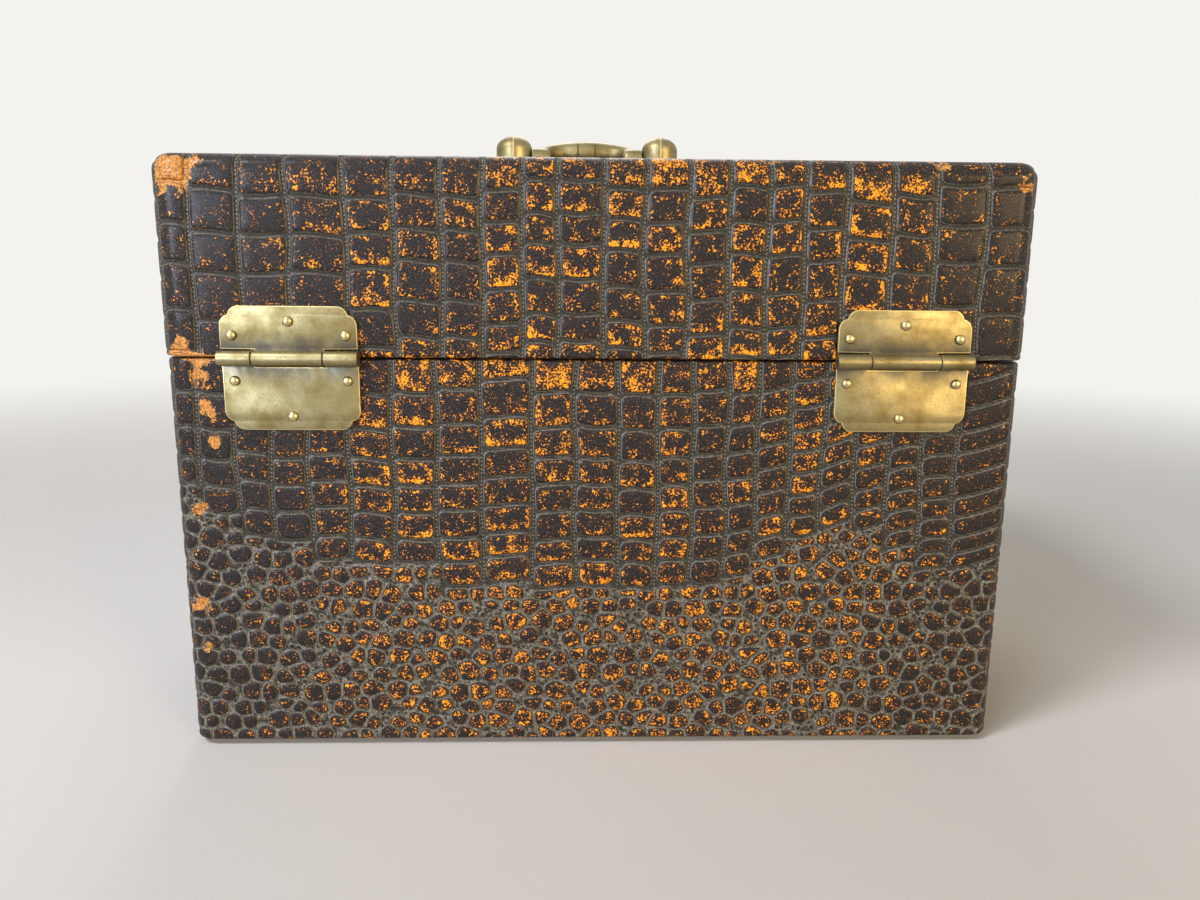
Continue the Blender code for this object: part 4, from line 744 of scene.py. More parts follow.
def lofted(name, half, corner, stations, step, shape=None, closed=False):
    """A skin through rings, each given as (inset, height). Its two ends are closed by flat faces, or
    the last ring is joined to the first. `shape` may push points out, by (ring, run) in mm."""
    counts = (round(2 * half[0] / step), round(2 * half[1] / step))
    _, ways = round_about(half, corner, counts)
    rings = []
    for number, (inset, level) in enumerate(stations):
        spots, _ = round_about((half[0] - inset, half[1] - inset), corner - inset, counts)
        if shape:
            spots = spots + shape(number, np.arange(len(spots)) / len(spots))[:, None] * ways
        rings.append(np.column_stack([spots + (0, CASE_CENTRE_Y), np.full(len(spots), level)]))
    index = np.arange(len(rings) * len(rings[0])).reshape(len(rings), -1)
    after = np.roll(index, -1, 1)
    rows = range(len(rings) if closed else len(rings) - 1)
    faces = []
    for k in rows:
        low, high = k, (k + 1) % len(rings)
        faces += np.stack([index[low], after[low], after[high], index[high]], -1).tolist()
    if not closed:
        faces += [index[0][::-1].tolist(), index[-1].tolist()]
    return mended(drawn_mesh(name, np.concatenate(rings), faces))


def tray(name, half, corner, low, high, folds, floor_low=True):
    """A lining 1 mm thick: four walls and a floor, with a welt where they meet. The folds stand out
    of the walls by up to `folds` mm, and run out at the top edge."""
    heights = np.linspace(high - 1.2, low + 5.5, 20)
    stations = [(30, low), (6, low), (0.4, low), (0, low + 0.4), (0, (low + high) / 2), (0, high - 0.3)]
    stations += [(0.3, high), (0.7, high), (1.0, high - 0.3)]
    wall = len(stations)
    stations += [(1.0, z) for z in heights]
    stations += [(1.0 + r, low + 1 + h) for r, h in arc((1.0, 2.2), WELT, 75, -75, 9)]
    stations += [(inset, low + 1.0) for inset in (4, 8, 16, 30)]
    rng = np.random.default_rng(len(name))
    pleats = ((128, 0.5), (91, 0.3), (173, 0.3), (37, 0.2))
    waves = [(count, rng.uniform(0, math.tau), depth) for count, depth in pleats]

    def gathered(number, run):
        if not wall <= number < wall + 20:
            return np.zeros(run.shape)
        share = (number - wall) / 20
        wave = sum(a * np.sin(math.tau * n * run + f + 0.6 * math.sin(7 * share)) for n, f, a in waves)
        fade = min(1, max(0, (heights[0] - 24 - heights[number - wall]) / 12)) * min(1, (1 - share) * 6)
        return -folds * fade * (0.55 + 0.45 * wave)

    if not floor_low:
        stations = [(inset, low + high - z) for inset, z in stations]
    return lofted(name, half, corner, stations, 1.3, gathered)


mesh = tray("base_lining_cloth", (152.5, 101.0), 2.5, 7.8, 151.6, 1.1)
present("base_lining_cloth", mesh, "base", ("base_lining",), twill, sharp=60)
mesh = tray("lid_lining_cloth", (153.2, 101.7), 3.2, 152.8, 216.2, 0.12, floor_low=False)
present("lid_lining_cloth", mesh, "lid", ("lid_lining",), twill, sharp=60)

# Hinges. Two pairs of butts, pressed from 1.2 mm brass sheet with round-lobed corners. The knuckles
# are rolled and turn on a pin. Three domed nails hold each leaf.
HINGE_X, HINGE_Y, HINGE_Z = 111.5, 111.8, 152.2
LEAF_HALF, LEAF = 24.5, 1.2
LEAF_CORNER, LOBE = 7.0, 3.9
LID_REACH, BASE_REACH = 18.7, 26.2
BARREL, BARREL_HALF, TONGUE, HINGE_PIN = 2.75, 25.0, 12.55, 1.2
NAILS = {"lid": ((-20.3, 8.2), (0, 13.2), (20.3, 8.2)), "base": ((-20.3, -8.2), (0, -21.2), (20.3, -8.2))}
FACE_Y = {"lid": 108.65, "base": 107.95}
SEAT = 0.3

# Aged brass: yellow metal gone olive, clouded brown where it is least handled, and scratched.
brass, tree, shader, place = new_finish("aged_brass", {"Metallic": 1.0})
cloud = add(tree, "TexNoise", {"Vector": place, "Scale": 90.0, "Detail": 5.0, "Roughness": 0.6})
speck = add(tree, "TexNoise", {"Vector": place, "Scale": 1400.0, "Detail": 3.0})
stain = add(tree, "MapRange", [cloud, 0.38, 0.66])
clear = add(tree, "Mix", {0: speck, 6: "#897f5c", 7: "#aba079"}, data_type="RGBA")
dull = add(tree, "Mix", {0: stain, 6: clear, 7: "#7a6c44"}, data_type="RGBA")
pit = add(tree, "MapRange", [speck, 0.3, 0.38, 0.4, 0.0])
colour = add(tree, "Mix", {0: pit, 6: dull, 7: "#3a3020"}, data_type="RGBA")
gloss = add(tree, "Math", [stain, 0.14, 0.36], operation="MULTIPLY_ADD")
gloss = add(tree, "Math", [speck, 0.12, gloss], operation="MULTIPLY_ADD")
height = add(tree, "Math", [cloud, 3.0, speck], operation="MULTIPLY_ADD")
bump = add(tree, "Bump", {"Height": height, "Distance": 0.00002})
give(tree, shader, {"Base Color": colour, "Roughness": gloss, "Normal": bump})

# The brass of the leaves: rubbed bright along the edge, stained blue-grey beside the barrel.
leaf_brass = brass.copy()
leaf_brass.name = "leaf_brass"
tree = leaf_brass.node_tree
shader = tree.nodes["Principled BSDF"]
place = add(tree, "TexCoord").outputs["Object"]
beside = add(tree, "SeparateXYZ", [place]).outputs[2]
beside = add(tree, "Math", [beside, HINGE_Z * MM], operation="SUBTRACT")
beside = add(tree, "Math", [beside], operation="ABSOLUTE")
flat = add(tree, "Math", [beside, BARREL * MM], operation="GREATER_THAN")
beside = add(tree, "MapRange", [beside, 0.0025, 0.0105, 1.0, 0.0], **SMOOTH)
smear = add(tree, "TexNoise", {"Vector": place, "Scale": 160.0, "Detail": 4.0, "Distortion": 0.5})
smear = add(tree, "MapRange", [smear, 0.32, 0.54, 0.25, 0.92])
smear = add(tree, "Math", [smear, beside], operation="MULTIPLY")
smear = add(tree, "Math", [smear, flat], operation="MULTIPLY")
under = shader.inputs["Base Color"].links[0].from_socket
colour = add(tree, "Mix", {0: smear, 6: under, 7: "#504f4e"}, data_type="RGBA")
rubbed_edge = add(tree, "Attribute", attribute_name="leaf_edge").outputs["Fac"]
colour = add(tree, "Mix", {0: rubbed_edge, 6: colour, 7: "#cbbb85"}, data_type="RGBA")
give(tree, shader, {"Base Color": colour})


def lobed_corner(half, reach):
    """The outer corner of a leaf: two round lobes that meet in a notch."""
    both = LOBE + LEAF_CORNER
    notch = (both - math.sqrt(both**2 - 2 * LEAF_CORNER**2)) / 2
    meet = math.degrees(math.atan2(LEAF_CORNER - notch, LOBE - notch))
    side = arc((half - LOBE, reach - LEAF_CORNER), LOBE, 0, meet, 10)
    return side + arc((half - LEAF_CORNER, reach - LOBE), LOBE, 90 - meet, 90, 10)[1:]


def mirrored(points):
    return points + [(-u, v) for u, v in reversed(points)]


def turned(name, profile, steps, place):
    """A turned shape from (radius, height) points in mm, given from its foot to its top."""
    bm = bmesh.new()
    verts = [bm.verts.new((r * MM, 0, h * MM)) for r, h in profile]
    edges = [bm.edges.new(pair) for pair in zip(verts, verts[1:])]
    bmesh.ops.spin(bm, geom=verts + edges, cent=(0, 0, 0), axis=(0, 0, 1), angle=math.tau, steps=steps)
    bmesh.ops.remove_doubles(bm, verts=bm.verts, dist=1e-7)
    bmesh.ops.recalc_face_normals(bm, faces=bm.faces)
    mesh = bpy.data.meshes.new(name)
    bm.to_mesh(mesh)
    bm.free()
    mesh.transform(place)
    return mesh


def joined(name, meshes):
    """One mesh of several closed shapes."""
    bm = bmesh.new()
    for mesh in meshes:
        bm.from_mesh(mesh)
        bpy.data.meshes.remove(mesh)
    mesh = bpy.data.meshes.new(name)
    bm.to_mesh(mesh)
    bm.free()
    return mesh


ALONG_X = ((0, 1, 0), (0, 0, 1), (1, 0, 0))


def rod(low, high, radius, cut=0.2, rise=0.2):
    """The outline of a plain turned rod with bevelled ends, for `turned`."""
    foot = [(0, low), (radius - cut, low), (radius, low + rise)]
    return foot + [(radius, high - rise), (radius - cut, high), (0, high)]


def knuckle(start, end, radius, x, y, z):
    """A rolled barrel along X between two places, its ends lightly rounded."""
    half = (end - start) / 2
    place = placed(x + (start + end) / 2, y, z, ALONG_X)
    return turned("knuckle", rod(-half, half, radius, 0.25, 0.25), 48, place)


def fitting(node, mesh, body, finish=brass, sharp=35):
    """Show a brass fitting in place of its CAD node."""
    present(f"{node}_fine", mesh, body, (node,), finish, sharp)


for side, sign in (("left", -1), ("right", 1)):
    x = sign * HINGE_X
    tongue, gap = TONGUE, TONGUE + 0.3
    lid_half = [(tongue, 0.4), (tongue, 3.2), (LEAF_HALF, 3.35), *lobed_corner(LEAF_HALF, LID_REACH)]
    base_half = [(gap, 3.2), (gap, 0.4), (LEAF_HALF, 0.4), *lobed_corner(LEAF_HALF, BASE_REACH)]
    drawn = {"lid": mirrored(lid_half), "base": [(-u, -v) for u, v in mirrored(base_half)]}
    knuckles = {"lid": [(-tongue, tongue)], "base": [(-BARREL_HALF, -gap), (gap, BARREL_HALF)]}
    for body, outline in drawn.items():
        name = f"hinge_{body}_leaf_{side}"
        place = placed(x, FACE_Y[body] + SEAT + LEAF / 2, HINGE_Z, SEEN_FROM_BACK)
        plate = flat_outline(name, [outline], LEAF, 0.32, place)
        edge = plate.attributes.new("leaf_edge", "FLOAT", "FACE")
        edge.data.foreach_set("value", [float(abs(face.normal.y) < 0.95) for face in plate.polygons])
        shapes = [plate] + [knuckle(a, b, BARREL, x, HINGE_Y, HINGE_Z) for a, b in knuckles[body]]
        fitting(name, joined(name, shapes), body, leaf_brass)
    pin = rod(-BARREL_HALF, BARREL_HALF, HINGE_PIN, 0.4, 0.3)
    fitting(f"hinge_pin_{side}", turned("pin", pin, 24, placed(x, HINGE_Y, HINGE_Z, ALONG_X)), "base")

# Nails. Domed brass nails, 3.7 mm across the head, brighter than the leaves that they hold because
# their heads are rubbed. Their shanks go through leather and board.

# The latches' middles, the front that they stand on and the height of their hasps' pins, then
# where the nails of keeper and lock sit: aside of the middle, up, and out of the front
LATCH_X, FRONT_Y, HASP_Z = 95.0, -106.35, 156.5
KEEPER_NAIL_X, KEEPER_NAIL_Z, KEEPER_FACE = 7.92, 167.06, 1.8
LOCK_NAIL_X, LOCK_NAIL_Z, LOCK_FACE = 26, 137.6, 0.9

NAIL_DOME = ((1.85, 0.0), (1.83, 0.22), (1.62, 0.58), (1.2, 0.87), (0.62, 1.05), (0, 1.1))

# Rubbed brass: pale yellow and brighter on top, brown in the pits.
nail_brass = speckled(
    "rubbed_brass", {"Metallic": 1.0}, "TexNoise", {"Scale": 1100.0, "Detail": 3.0},
    ("#9c8b5c", "#dccb94"), depth=0.00003, gloss={1: 0.3, 2: 0.7, 3: 0.42, 4: 0.24},
)


def nailing_tree():
    """Sets a nail on each point, turned along the point's `outward` vector."""
    tree, given = new_group("nailing", Nail="Object", Size="Float", Brass="Material")
    nail = add(tree, "GeometryNodeObjectInfo", {"Object": given["Nail"]})
    out = add(tree, "GeometryNodeInputNamedAttribute", {"Name": "outward"}, data_type="FLOAT_VECTOR")
    turn = add(tree, "FunctionNodeAlignRotationToVector", {"Vector": out}, axis="Z")
    spin = add(tree, "FunctionNodeRandomValue", {"Min": 0.0, "Max": math.tau, "Seed": 3}, data_type="FLOAT")
    spun = add(tree, "FunctionNodeAxisAngleToRotation", {"Axis": (0, 0, 1), "Angle": spin})
    turned_nail = add(tree, "FunctionNodeRotateRotation", [turn, spun], rotation_space="LOCAL")
    set_nails = {"Points": given["Geometry"], "Instance": nail.outputs["Geometry"]}
    set_nails |= {"Rotation": turned_nail, "Scale": given["Size"]}
    set_nails = add(tree, "GeometryNodeInstanceOnPoints", set_nails)
    return end_group(tree, set_nails, given["Brass"])


shank = [(0, -5.8), (0.35, -5.2), (0.8, -4.0), (0.8, 0.0)]
nail = stand("nail", turned("nail", [*shank, *NAIL_DOME], 20, placed(0, 0, 0)))
seats = {"base": [], "lid": []}
stood_for = {"base": [], "lid": []}
for side, sign in (("left", -1), ("right", 1)):
    for body in ("lid", "base"):
        y = FACE_Y[body] + 2 * SEAT + LEAF
        seats[body] += [((sign * HINGE_X + u, y, HINGE_Z + v), (0, 1, 0)) for u, v in NAILS[body]]
        stood_for[body] += [f"nail_hinge_{body}_{side}_{k}" for k in (1, 2, 3)]
    for body, u, out, z in (
        ("lid", KEEPER_NAIL_X, KEEPER_FACE, KEEPER_NAIL_Z),
        ("base", LOCK_NAIL_X, LOCK_FACE, LOCK_NAIL_Z),
    ):
        x, y = sign * LATCH_X, FRONT_Y - out
        seats[body] += [((x - u, y, z), (0, -1, 0)), ((x + u, y, z), (0, -1, 0))]
    stood_for["lid"] += [f"nail_keeper_{side}_{k}" for k in (1, 2)]
    stood_for["base"] += [f"nail_lock_{side}_{k}" for k in (1, 2)]
nailing = nailing_tree()
for body, places in seats.items():
    mesh = drawn_mesh(f"nails_{body}", [at for at, _ in places])
    layer = mesh.attributes.new("outward", "FLOAT_VECTOR", "POINT")
    layer.data.foreach_set("vector", [c for _, way in places for c in way])
    mesh = grown(mesh, nailing, {"Nail": nail, "Size": 1.0, "Brass": nail_brass})
    present(f"nails_{body}", mesh, body, stood_for[body])
bpy.data.objects.remove(nail)

# The rim is a 2 mm board with the same twill turned over its top edge and sewn through below it.
RIM_HALF, RIM_LOW, RIM_TOP = (151.2, 99.7), 131.6, 157.6
SEAM_DOWN, STITCH = 3.2, 3.4
SEAM = RIM_TOP - SEAM_DOWN
profile = [(0, z) for z in np.linspace(RIM_LOW + 0.3, RIM_TOP - 1, 6)]
profile += arc((1, RIM_TOP - 1), 1, 180, 0, 9)[1:-1]
profile += [(2, RIM_TOP - 1), (2, SEAM + 0.7), (1.85, SEAM), (2, SEAM - 0.7), (2, 143.0)]
profile += [(2, RIM_LOW + 0.3), (1.6, RIM_LOW), (0.4, RIM_LOW)]
mesh = lofted("base_rim_cloth", RIM_HALF, 4.0, profile, 2.0, closed=True)
present("base_rim_cloth", mesh, "base", ("base_rim",), twill, sharp=60)

# Waxed linen thread: pale straw, round, with a fine twist.
thread = speckled(
    "waxed_thread", {"Roughness": 0.6}, "TexNoise", {"Scale": 2400.0, "Detail": 1.0},
    ("#8a6f45", "#c9ac78"), depth=0.0001,
)


def sewing_tree():
    """Lays stitches along a closed line of edges, one for each Pitch."""
    tree, given = new_group("sewing", Stitch="Object", Pitch="Float", Thread="Material")
    seam = add(tree, "GeometryNodeMeshToCurve", [given["Geometry"]])
    spots = add(tree, "GeometryNodeResampleCurve", {"Curve": seam, "Length": given["Pitch"]}, mode="LENGTH")
    way = add(tree, "GeometryNodeInputTangent")
    turn = add(tree, "FunctionNodeAlignRotationToVector", {"Vector": way}, axis="Z")
    stitch = add(tree, "GeometryNodeObjectInfo", {"Object": given["Stitch"]})
    laid = {"Points": spots, "Instance": stitch.outputs["Geometry"], "Rotation": turn}
    laid = add(tree, "GeometryNodeInstanceOnPoints", laid)
    return end_group(tree, laid, given["Thread"])


sewing = sewing_tree()


def sewn(name, half, corner, inset, level, body):
    """A row of stitches round a rounded rectangle."""
    spots, _ = round_about((half[0] - inset, half[1] - inset), corner - inset, (12, 8))
    count = len(spots)
    at = [(x, y + CASE_CENTRE_Y, level) for x, y in spots]
    line = drawn_mesh(name, at, edges=[(k, (k + 1) % count) for k in range(count)])
    capsule = [(0, -1.25), (0.2, -1.05), (0.24, 0), (0.2, 1.05), (0, 1.25)]
    stitch = stand("stitch", turned("stitch", capsule, 6, placed(0, 0, 0)))
    mesh = grown(line, sewing, {"Stitch": stitch, "Pitch": STITCH * MM, "Thread": thread})
    bpy.data.objects.remove(stitch)
    present(name, mesh, body)


sewn("rim_stitches", RIM_HALF, 4.0, 2.0, SEAM, "base")

# Mirror. A bevelled plate of silvered glass sits in a rebated frame of board, which is covered with
# thin skiver leather, sewn along its inner edge, and glued to the lining inside the lid.
FRAME_HALF, FRAME_LOW, FRAME_HIGH = (129.0, 80.0), 209.4, 214.9
GLASS_HALF, GLASS_LOW, GLASS_HIGH = (122.0, 73.0), 211.6, 214.6

# Skiver: split sheepskin, thin and smooth, dyed dark brown, with fine pores and soft creases.
skiver, tree, shader, place = new_finish("skiver_leather", {"Roughness": 0.5, "Specular IOR Level": 0.4})
pores = add(tree, "TexVoronoi", {"Vector": place, "Scale": 900.0}).outputs["Distance"]
shade = add(tree, "TexNoise", {"Vector": place, "Scale": 60.0, "Detail": 4.0})
colour = add(tree, "Mix", {0: shade, 6: "#2a1712", 7: "#5a3424"}, data_type="RGBA")
height = add(tree, "Math", [shade, 3.0, pores], operation="MULTIPLY_ADD")
bump = add(tree, "Bump", {"Height": height, "Distance": 0.00012})
give(tree, shader, {"Base Color": colour, "Normal": bump})

REBATE_INSET, REBATE_HIGH = 6.7, 211.3
outer = [(0, FRAME_HIGH), (0, FRAME_HIGH - 2.0)] + arc((1.5, FRAME_LOW + 1.5), 1.5, 180, 270, 6)
face = [(x, FRAME_LOW) for x in (2.4, 4.5, 6.6, 7.6)] + [(8.0, FRAME_LOW + 0.15), (8.4, FRAME_LOW)]
inner = arc((9.8, FRAME_LOW + 1.2), 1.2, 270, 360, 6) + [(11, REBATE_HIGH)]
inner += [(REBATE_INSET, REBATE_HIGH), (REBATE_INSET, FRAME_HIGH)]
mesh = lofted("mirror_frame_leather", FRAME_HALF, 2.0, outer + face + inner, 4.0, closed=True)
present("mirror_frame_fine", mesh, "lid", ("mirror_frame",), skiver, sharp=50)
sewn("frame_stitches", FRAME_HALF, 2.0, 8.0, FRAME_LOW + 0.1, "lid")

# Silvered glass: a clear reflection, a little grey, dimmed by fine dust and spotted near the edge.
silver, tree, shader, place = new_finish("silvered_glass", {"Metallic": 1.0})
dust = add(tree, "TexNoise", {"Vector": place, "Scale": 700.0, "Detail": 3.0})
spots = add(tree, "TexNoise", {"Vector": place, "Scale": 45.0, "Detail": 5.0})
spots = add(tree, "MapRange", [spots, 0.62, 0.72, 0.0, 0.7])
colour = add(tree, "Mix", {0: spots, 6: "#dfe3e2", 7: "#a59d8c"}, data_type="RGBA")
gloss = add(tree, "MapRange", [dust, 0.4, 0.8, 0.015, 0.09])
give(tree, shader, {"Base Color": colour, "Roughness": gloss})
profile = [(20, GLASS_HIGH), (0.2, GLASS_HIGH), (0, GLASS_HIGH - 0.2), (0, GLASS_LOW + 1.2)]
profile += [(0.3, GLASS_LOW + 0.9), (14.0, GLASS_LOW), (14.6, GLASS_LOW), (30, GLASS_LOW)]
mesh = lofted("mirror_glass", GLASS_HALF, 0.6, profile, 8.0)
present("mirror_fine", mesh, "lid", ("mirror",), silver, sharp=2)

# Latches. On the front, a brass hasp swings on a keeper plate on the lid. Its nose drops into a pressed
# case on the base, where a bolt holds it. A button slides the bolt, and a bent strip pushes it back.
HASP_Y, HASP_RADIUS = -108.85, 2.2
KEEPER_HALF, KEEPER_TOP, KEEPER_GAP, HASP_PIN = 12.0, 16.0, 6.8, 0.9
SPRING_END = 20.7


def eased(node, radius):
    """The CAD mesh of a pressed or bent piece, with its edges rounded off."""
    mesh = nodes[node].data.copy()
    mesh.transform(nodes[node].matrix_world)
    bm = bmesh.new()
    bm.from_mesh(mesh)
    bmesh.ops.remove_doubles(bm, verts=bm.verts, dist=2e-6)
    bmesh.ops.dissolve_limit(bm, angle_limit=math.radians(1), verts=bm.verts, edges=bm.edges)
    sharp = [e for e in bm.edges if len(e.link_faces) == 2 and e.calc_face_angle() > math.radians(40)]
    bmesh.ops.bevel(bm, geom=sharp, offset=radius * MM, segments=2, profile=0.5, affect="EDGES")
    bm.to_mesh(mesh)
    bm.free()
    return mesh


def block(low, high, radius):
    """A filed block of metal between two corners in mm."""
    size = Vector(high) - Vector(low)
    bm = bmesh.new()
    bmesh.ops.create_cube(bm, size=MM, matrix=Matrix.Diagonal((*size, 1)))
    bmesh.ops.translate(bm, vec=(Vector(high) + Vector(low)) / 2 * MM, verts=bm.verts)
    bmesh.ops.bevel(bm, geom=bm.edges[:], offset=radius * MM, segments=3, profile=0.5, affect="EDGES")
    mesh = bpy.data.meshes.new("block")
    bm.to_mesh(mesh)
    bm.free()
    return mesh


# Spring steel: cold-rolled strip, grey, with fine rolling lines along it.
steel = speckled(
    "spring_steel_strip", {"Metallic": 1.0}, "TexNoise", {"Scale": 1.0, "Detail": 3.0},
    ("#6d6e70", "#9b9c9d"), gloss={3: 0.25, 4: 0.45}, stretch=(400, 400, 4000),
)

for side, sign in (("left", -1), ("right", 1)):
    x = sign * LATCH_X
    for node, body, radius in (("lock_case", "base", 0.25), ("latch_button", f"latch_button_{side}", 0.35)):
        mesh = eased(f"{node}_{side}", radius)
        fitting(f"{node}_{side}", mesh, body, sharp=40)
    name = f"latch_spring_{side}"
    spring = present(f"{name}_fine", eased(name, 0.04), "base", (name,), steel)
    end = (sign * (LATCH_X + SPRING_END) * MM, 0, 0)
    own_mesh(spring)

    corner = arc((KEEPER_HALF - 3, KEEPER_TOP - 3), 3, 0, 90, 8)
    outline = mirrored([(KEEPER_HALF, 0), *corner])
    outline += [(-KEEPER_GAP, 0), (-KEEPER_GAP, 2.8), (KEEPER_GAP, 2.8), (KEEPER_GAP, 0)]
    plate = placed(x, FRONT_Y - SEAT - LEAF / 2, HASP_Z, SEEN_FROM_BACK)
    shapes = [flat_outline("keeper", [outline], LEAF, 0.2, plate)]
    for start, end in ((-KEEPER_HALF, -KEEPER_GAP), (KEEPER_GAP, KEEPER_HALF)):
        shapes.append(knuckle(start, end, HASP_RADIUS, x, HASP_Y, HASP_Z))
    fitting(f"keeper_{side}", joined("keeper", shapes), "lid")
    pin = rod(-KEEPER_HALF, KEEPER_HALF, HASP_PIN)
    fitting(f"hasp_pin_{side}", turned("pin", pin, 20, placed(x, HASP_Y, HASP_Z, ALONG_X)), "lid")

    # The hasp in side view: rolled round its pin, straight down, and its lip turned out for a finger
    outline = arc((0, 0), HASP_RADIUS, 300, 40, 27) + [(4.7, -2.2), (4.7, -22.6)]
    outline += [(4.9, -23.6), (5.7, -25.5), (4.5, -25.5), (3.7, -23.6), (3.5, -22.6), (3.5, -2.8)]
    mesh = flat_outline("hasp", [outline], 13.0, 0.3, placed(x, HASP_Y, HASP_Z, SEEN_FROM_SIDE))
    nose = block((x - 3, FRONT_Y - 6.6, 139.0), (x + 3, FRONT_Y - 2.0, 144.0), 0.5)
    fitting(f"hasp_{side}", joined("hasp", [mesh, nose]), f"hasp_{side}")

# Stay. Two flat brass links fold on the right inner side and stop the lid when they lie straight. They
# turn on a riveted elbow and on the headed studs of two small brackets.
STAY_LOW, STAY_HIGH, ELBOW = (60.0, -14.0), (60.0, 14.0), (113.19, 0.0)
LINK_HALF, RIVET, RIVET_HEAD = 4.0, 1.5, 2.8


def link(name, start, end, x):
    """A flat bar with round ends, drilled for its rivets, between two points of the side view."""
    angle = math.degrees(math.atan2(end[1] - start[1], end[0] - start[0]))
    outline = arc(end, LINK_HALF, angle - 90, angle + 90, 20)
    outline += arc(start, LINK_HALF, angle + 90, angle + 270, 20)
    holes = [arc(spot, RIVET + 0.3, 0, 348.75, 32) for spot in (start, end)]
    return flat_outline(name, [outline, *holes], 1.2, 0.2, placed(x, HINGE_Y, HINGE_Z, SEEN_FROM_SIDE))


def stud(start, end, radius, spot):
    """A plain turned stud along X at a point of the side view."""
    place = placed(0, HINGE_Y - spot[0], HINGE_Z + spot[1], ALONG_X)
    return turned("stud", rod(start, end, radius), 32, place)


for end, at, x in (("lower", STAY_LOW, 147.0), ("upper", STAY_HIGH, 145.5)):
    fitting(f"stay_{end}_link", link(f"stay_{end}_link", at, ELBOW, x), f"stay_{end}")
elbow_studs = ((144.2, 148.3, RIVET), (144.0, 144.6, RIVET_HEAD), (147.9, 148.5, RIVET_HEAD))
base_studs = ((145.8, 148.4, RIVET), (145.5, 146.1, RIVET_HEAD))
base_plate = ((147.9, 45.8, 135.2), (148.9, 57.8, 144.2))
lid_plate = ((150.9, 45.8, 163.2), (151.9, 57.8, 172.2))
for name, body, plate, studs, spot in (
    ("stay_elbow_rivet", "stay_lower", None, elbow_studs, ELBOW),
    ("stay_base_bracket", "base", base_plate, base_studs, STAY_LOW),
    ("stay_lid_bracket", "lid", lid_plate, ((146.4, 151.4, RIVET),), STAY_HIGH),
):
    shapes = [block(*plate, 0.3)] if plate else []
    fitting(name, joined(name, shapes + [stud(*values, spot) for values in studs]), body)

# Feet. Four turned brass studs, slightly domed to a flat pad, are driven up into the base.
FOOT_X, FOOT_Y, FOOT_DOWN, SHANK = 137.0, 85.5, 1.7, 1.4
foot = [(0, -FOOT_DOWN), (4.0, -FOOT_DOWN), *arc((4.2, -0.4), 1.3, 275, 360, 7), (5.5, 0)]
foot += [(SHANK, 0), (SHANK, 4.5), (0, 4.5)]
for end, sy in (("front", -1), ("back", 1)):
    for side, sx in (("left", -1), ("right", 1)):
        place = placed(sx * FOOT_X, CASE_CENTRE_Y + sy * FOOT_Y, FOOT_DOWN)
        fitting(f"foot_{end}_{side}", turned("foot", foot, 48, place), "base")

# Handle. Two cast posts stand on the lid, and between them swings a cast bail with a swelling grip,
# a ring at its middle, and round elbows whose trunnions turn in the posts.
HANDLE_X, LUG_X, LUG_RADIUS, LUG_SEAT = 3.7, 33.6, 8.2, 228.01
PIVOT_Z, TRUNNION = 235.81, 2.4
BAIL_REACH, BAIL_CORNER, ELBOW_X = 25.0, 12.0, 20.9
ARM_RADIUS, GRIP_RADIUS, RING_HALF, GROOVE = 3.4, 5.4, 3.85, 0.8
BAIL_LEAN = math.radians(12.8)

# Cast brass of the handle: as the hinges, with a fine bright line where the mould parted.
cast_brass = brass.copy()
cast_brass.name = "cast_brass"
tree = cast_brass.node_tree
shader = tree.nodes["Principled BSDF"]
apart = add(tree, "SeparateXYZ", [add(tree, "TexCoord").outputs["Object"]])
apart = add(tree, "Math", [apart, HANDLE_X * MM], operation="SUBTRACT")
apart = add(tree, "Math", [apart], operation="ABSOLUTE")
apart = add(tree, "Math", [apart, LUG_X * MM, 0.0002], operation="COMPARE")
under = shader.inputs["Base Color"].links[0].from_socket
colour = add(tree, "Mix", {0: apart, 6: under, 7: "#d8c48c"}, data_type="RGBA")
give(tree, shader, {"Base Color": colour})

lug = [(0, -4.8), (2.5, -4.8), (2.5, 0), (7.9, 0), (LUG_RADIUS, 0.3), (LUG_RADIUS, 11)]
lug += [(LUG_RADIUS * math.cos(a), 11.5 + 6 * math.sin(a)) for a in np.linspace(0, math.pi / 2, 15)][:-1]
lug.append((0, 17.5))
for side, sign in (("left", -1), ("right", 1)):
    mesh = turned("lug", lug, 72, placed(HANDLE_X + sign * LUG_X, CASE_CENTRE_Y, LUG_SEAT))
    fitting(f"handle_lug_{side}", mesh, "lid", cast_brass)


def grip_radius(x):
    swell = math.cos(min(1.0, abs(x) / ELBOW_X) * math.pi / 2)
    return ARM_RADIUS + (GRIP_RADIUS - ARM_RADIUS) * swell


def swept(name, path, steps, place):
    """A round bar along a path of (x, y, radius) in its own plane, in mm, with closed ends."""
    points = np.array([(x, y) for x, y, _ in path])
    along = np.gradient(points, axis=0)
    along /= np.hypot(*along.T)[:, None]
    angles = np.linspace(0, math.tau, steps, endpoint=False)
    verts = []
    for (x, y, radius), (dx, dy) in zip(path, along):
        for a in angles:
            side = radius * math.cos(a)
            verts.append((x - dy * side, y + dx * side, radius * math.sin(a)))
    index = np.arange(len(path) * steps).reshape(-1, steps)
    after = np.roll(index, -1, 1)
    faces = np.stack([index[:-1], after[:-1], after[1:], index[1:]], -1).reshape(-1, 4).tolist()
    faces += [index[0][::-1].tolist(), index[-1].tolist()]
    mesh = mended(drawn_mesh(name, verts, faces))
    mesh.transform(place)
    return mesh


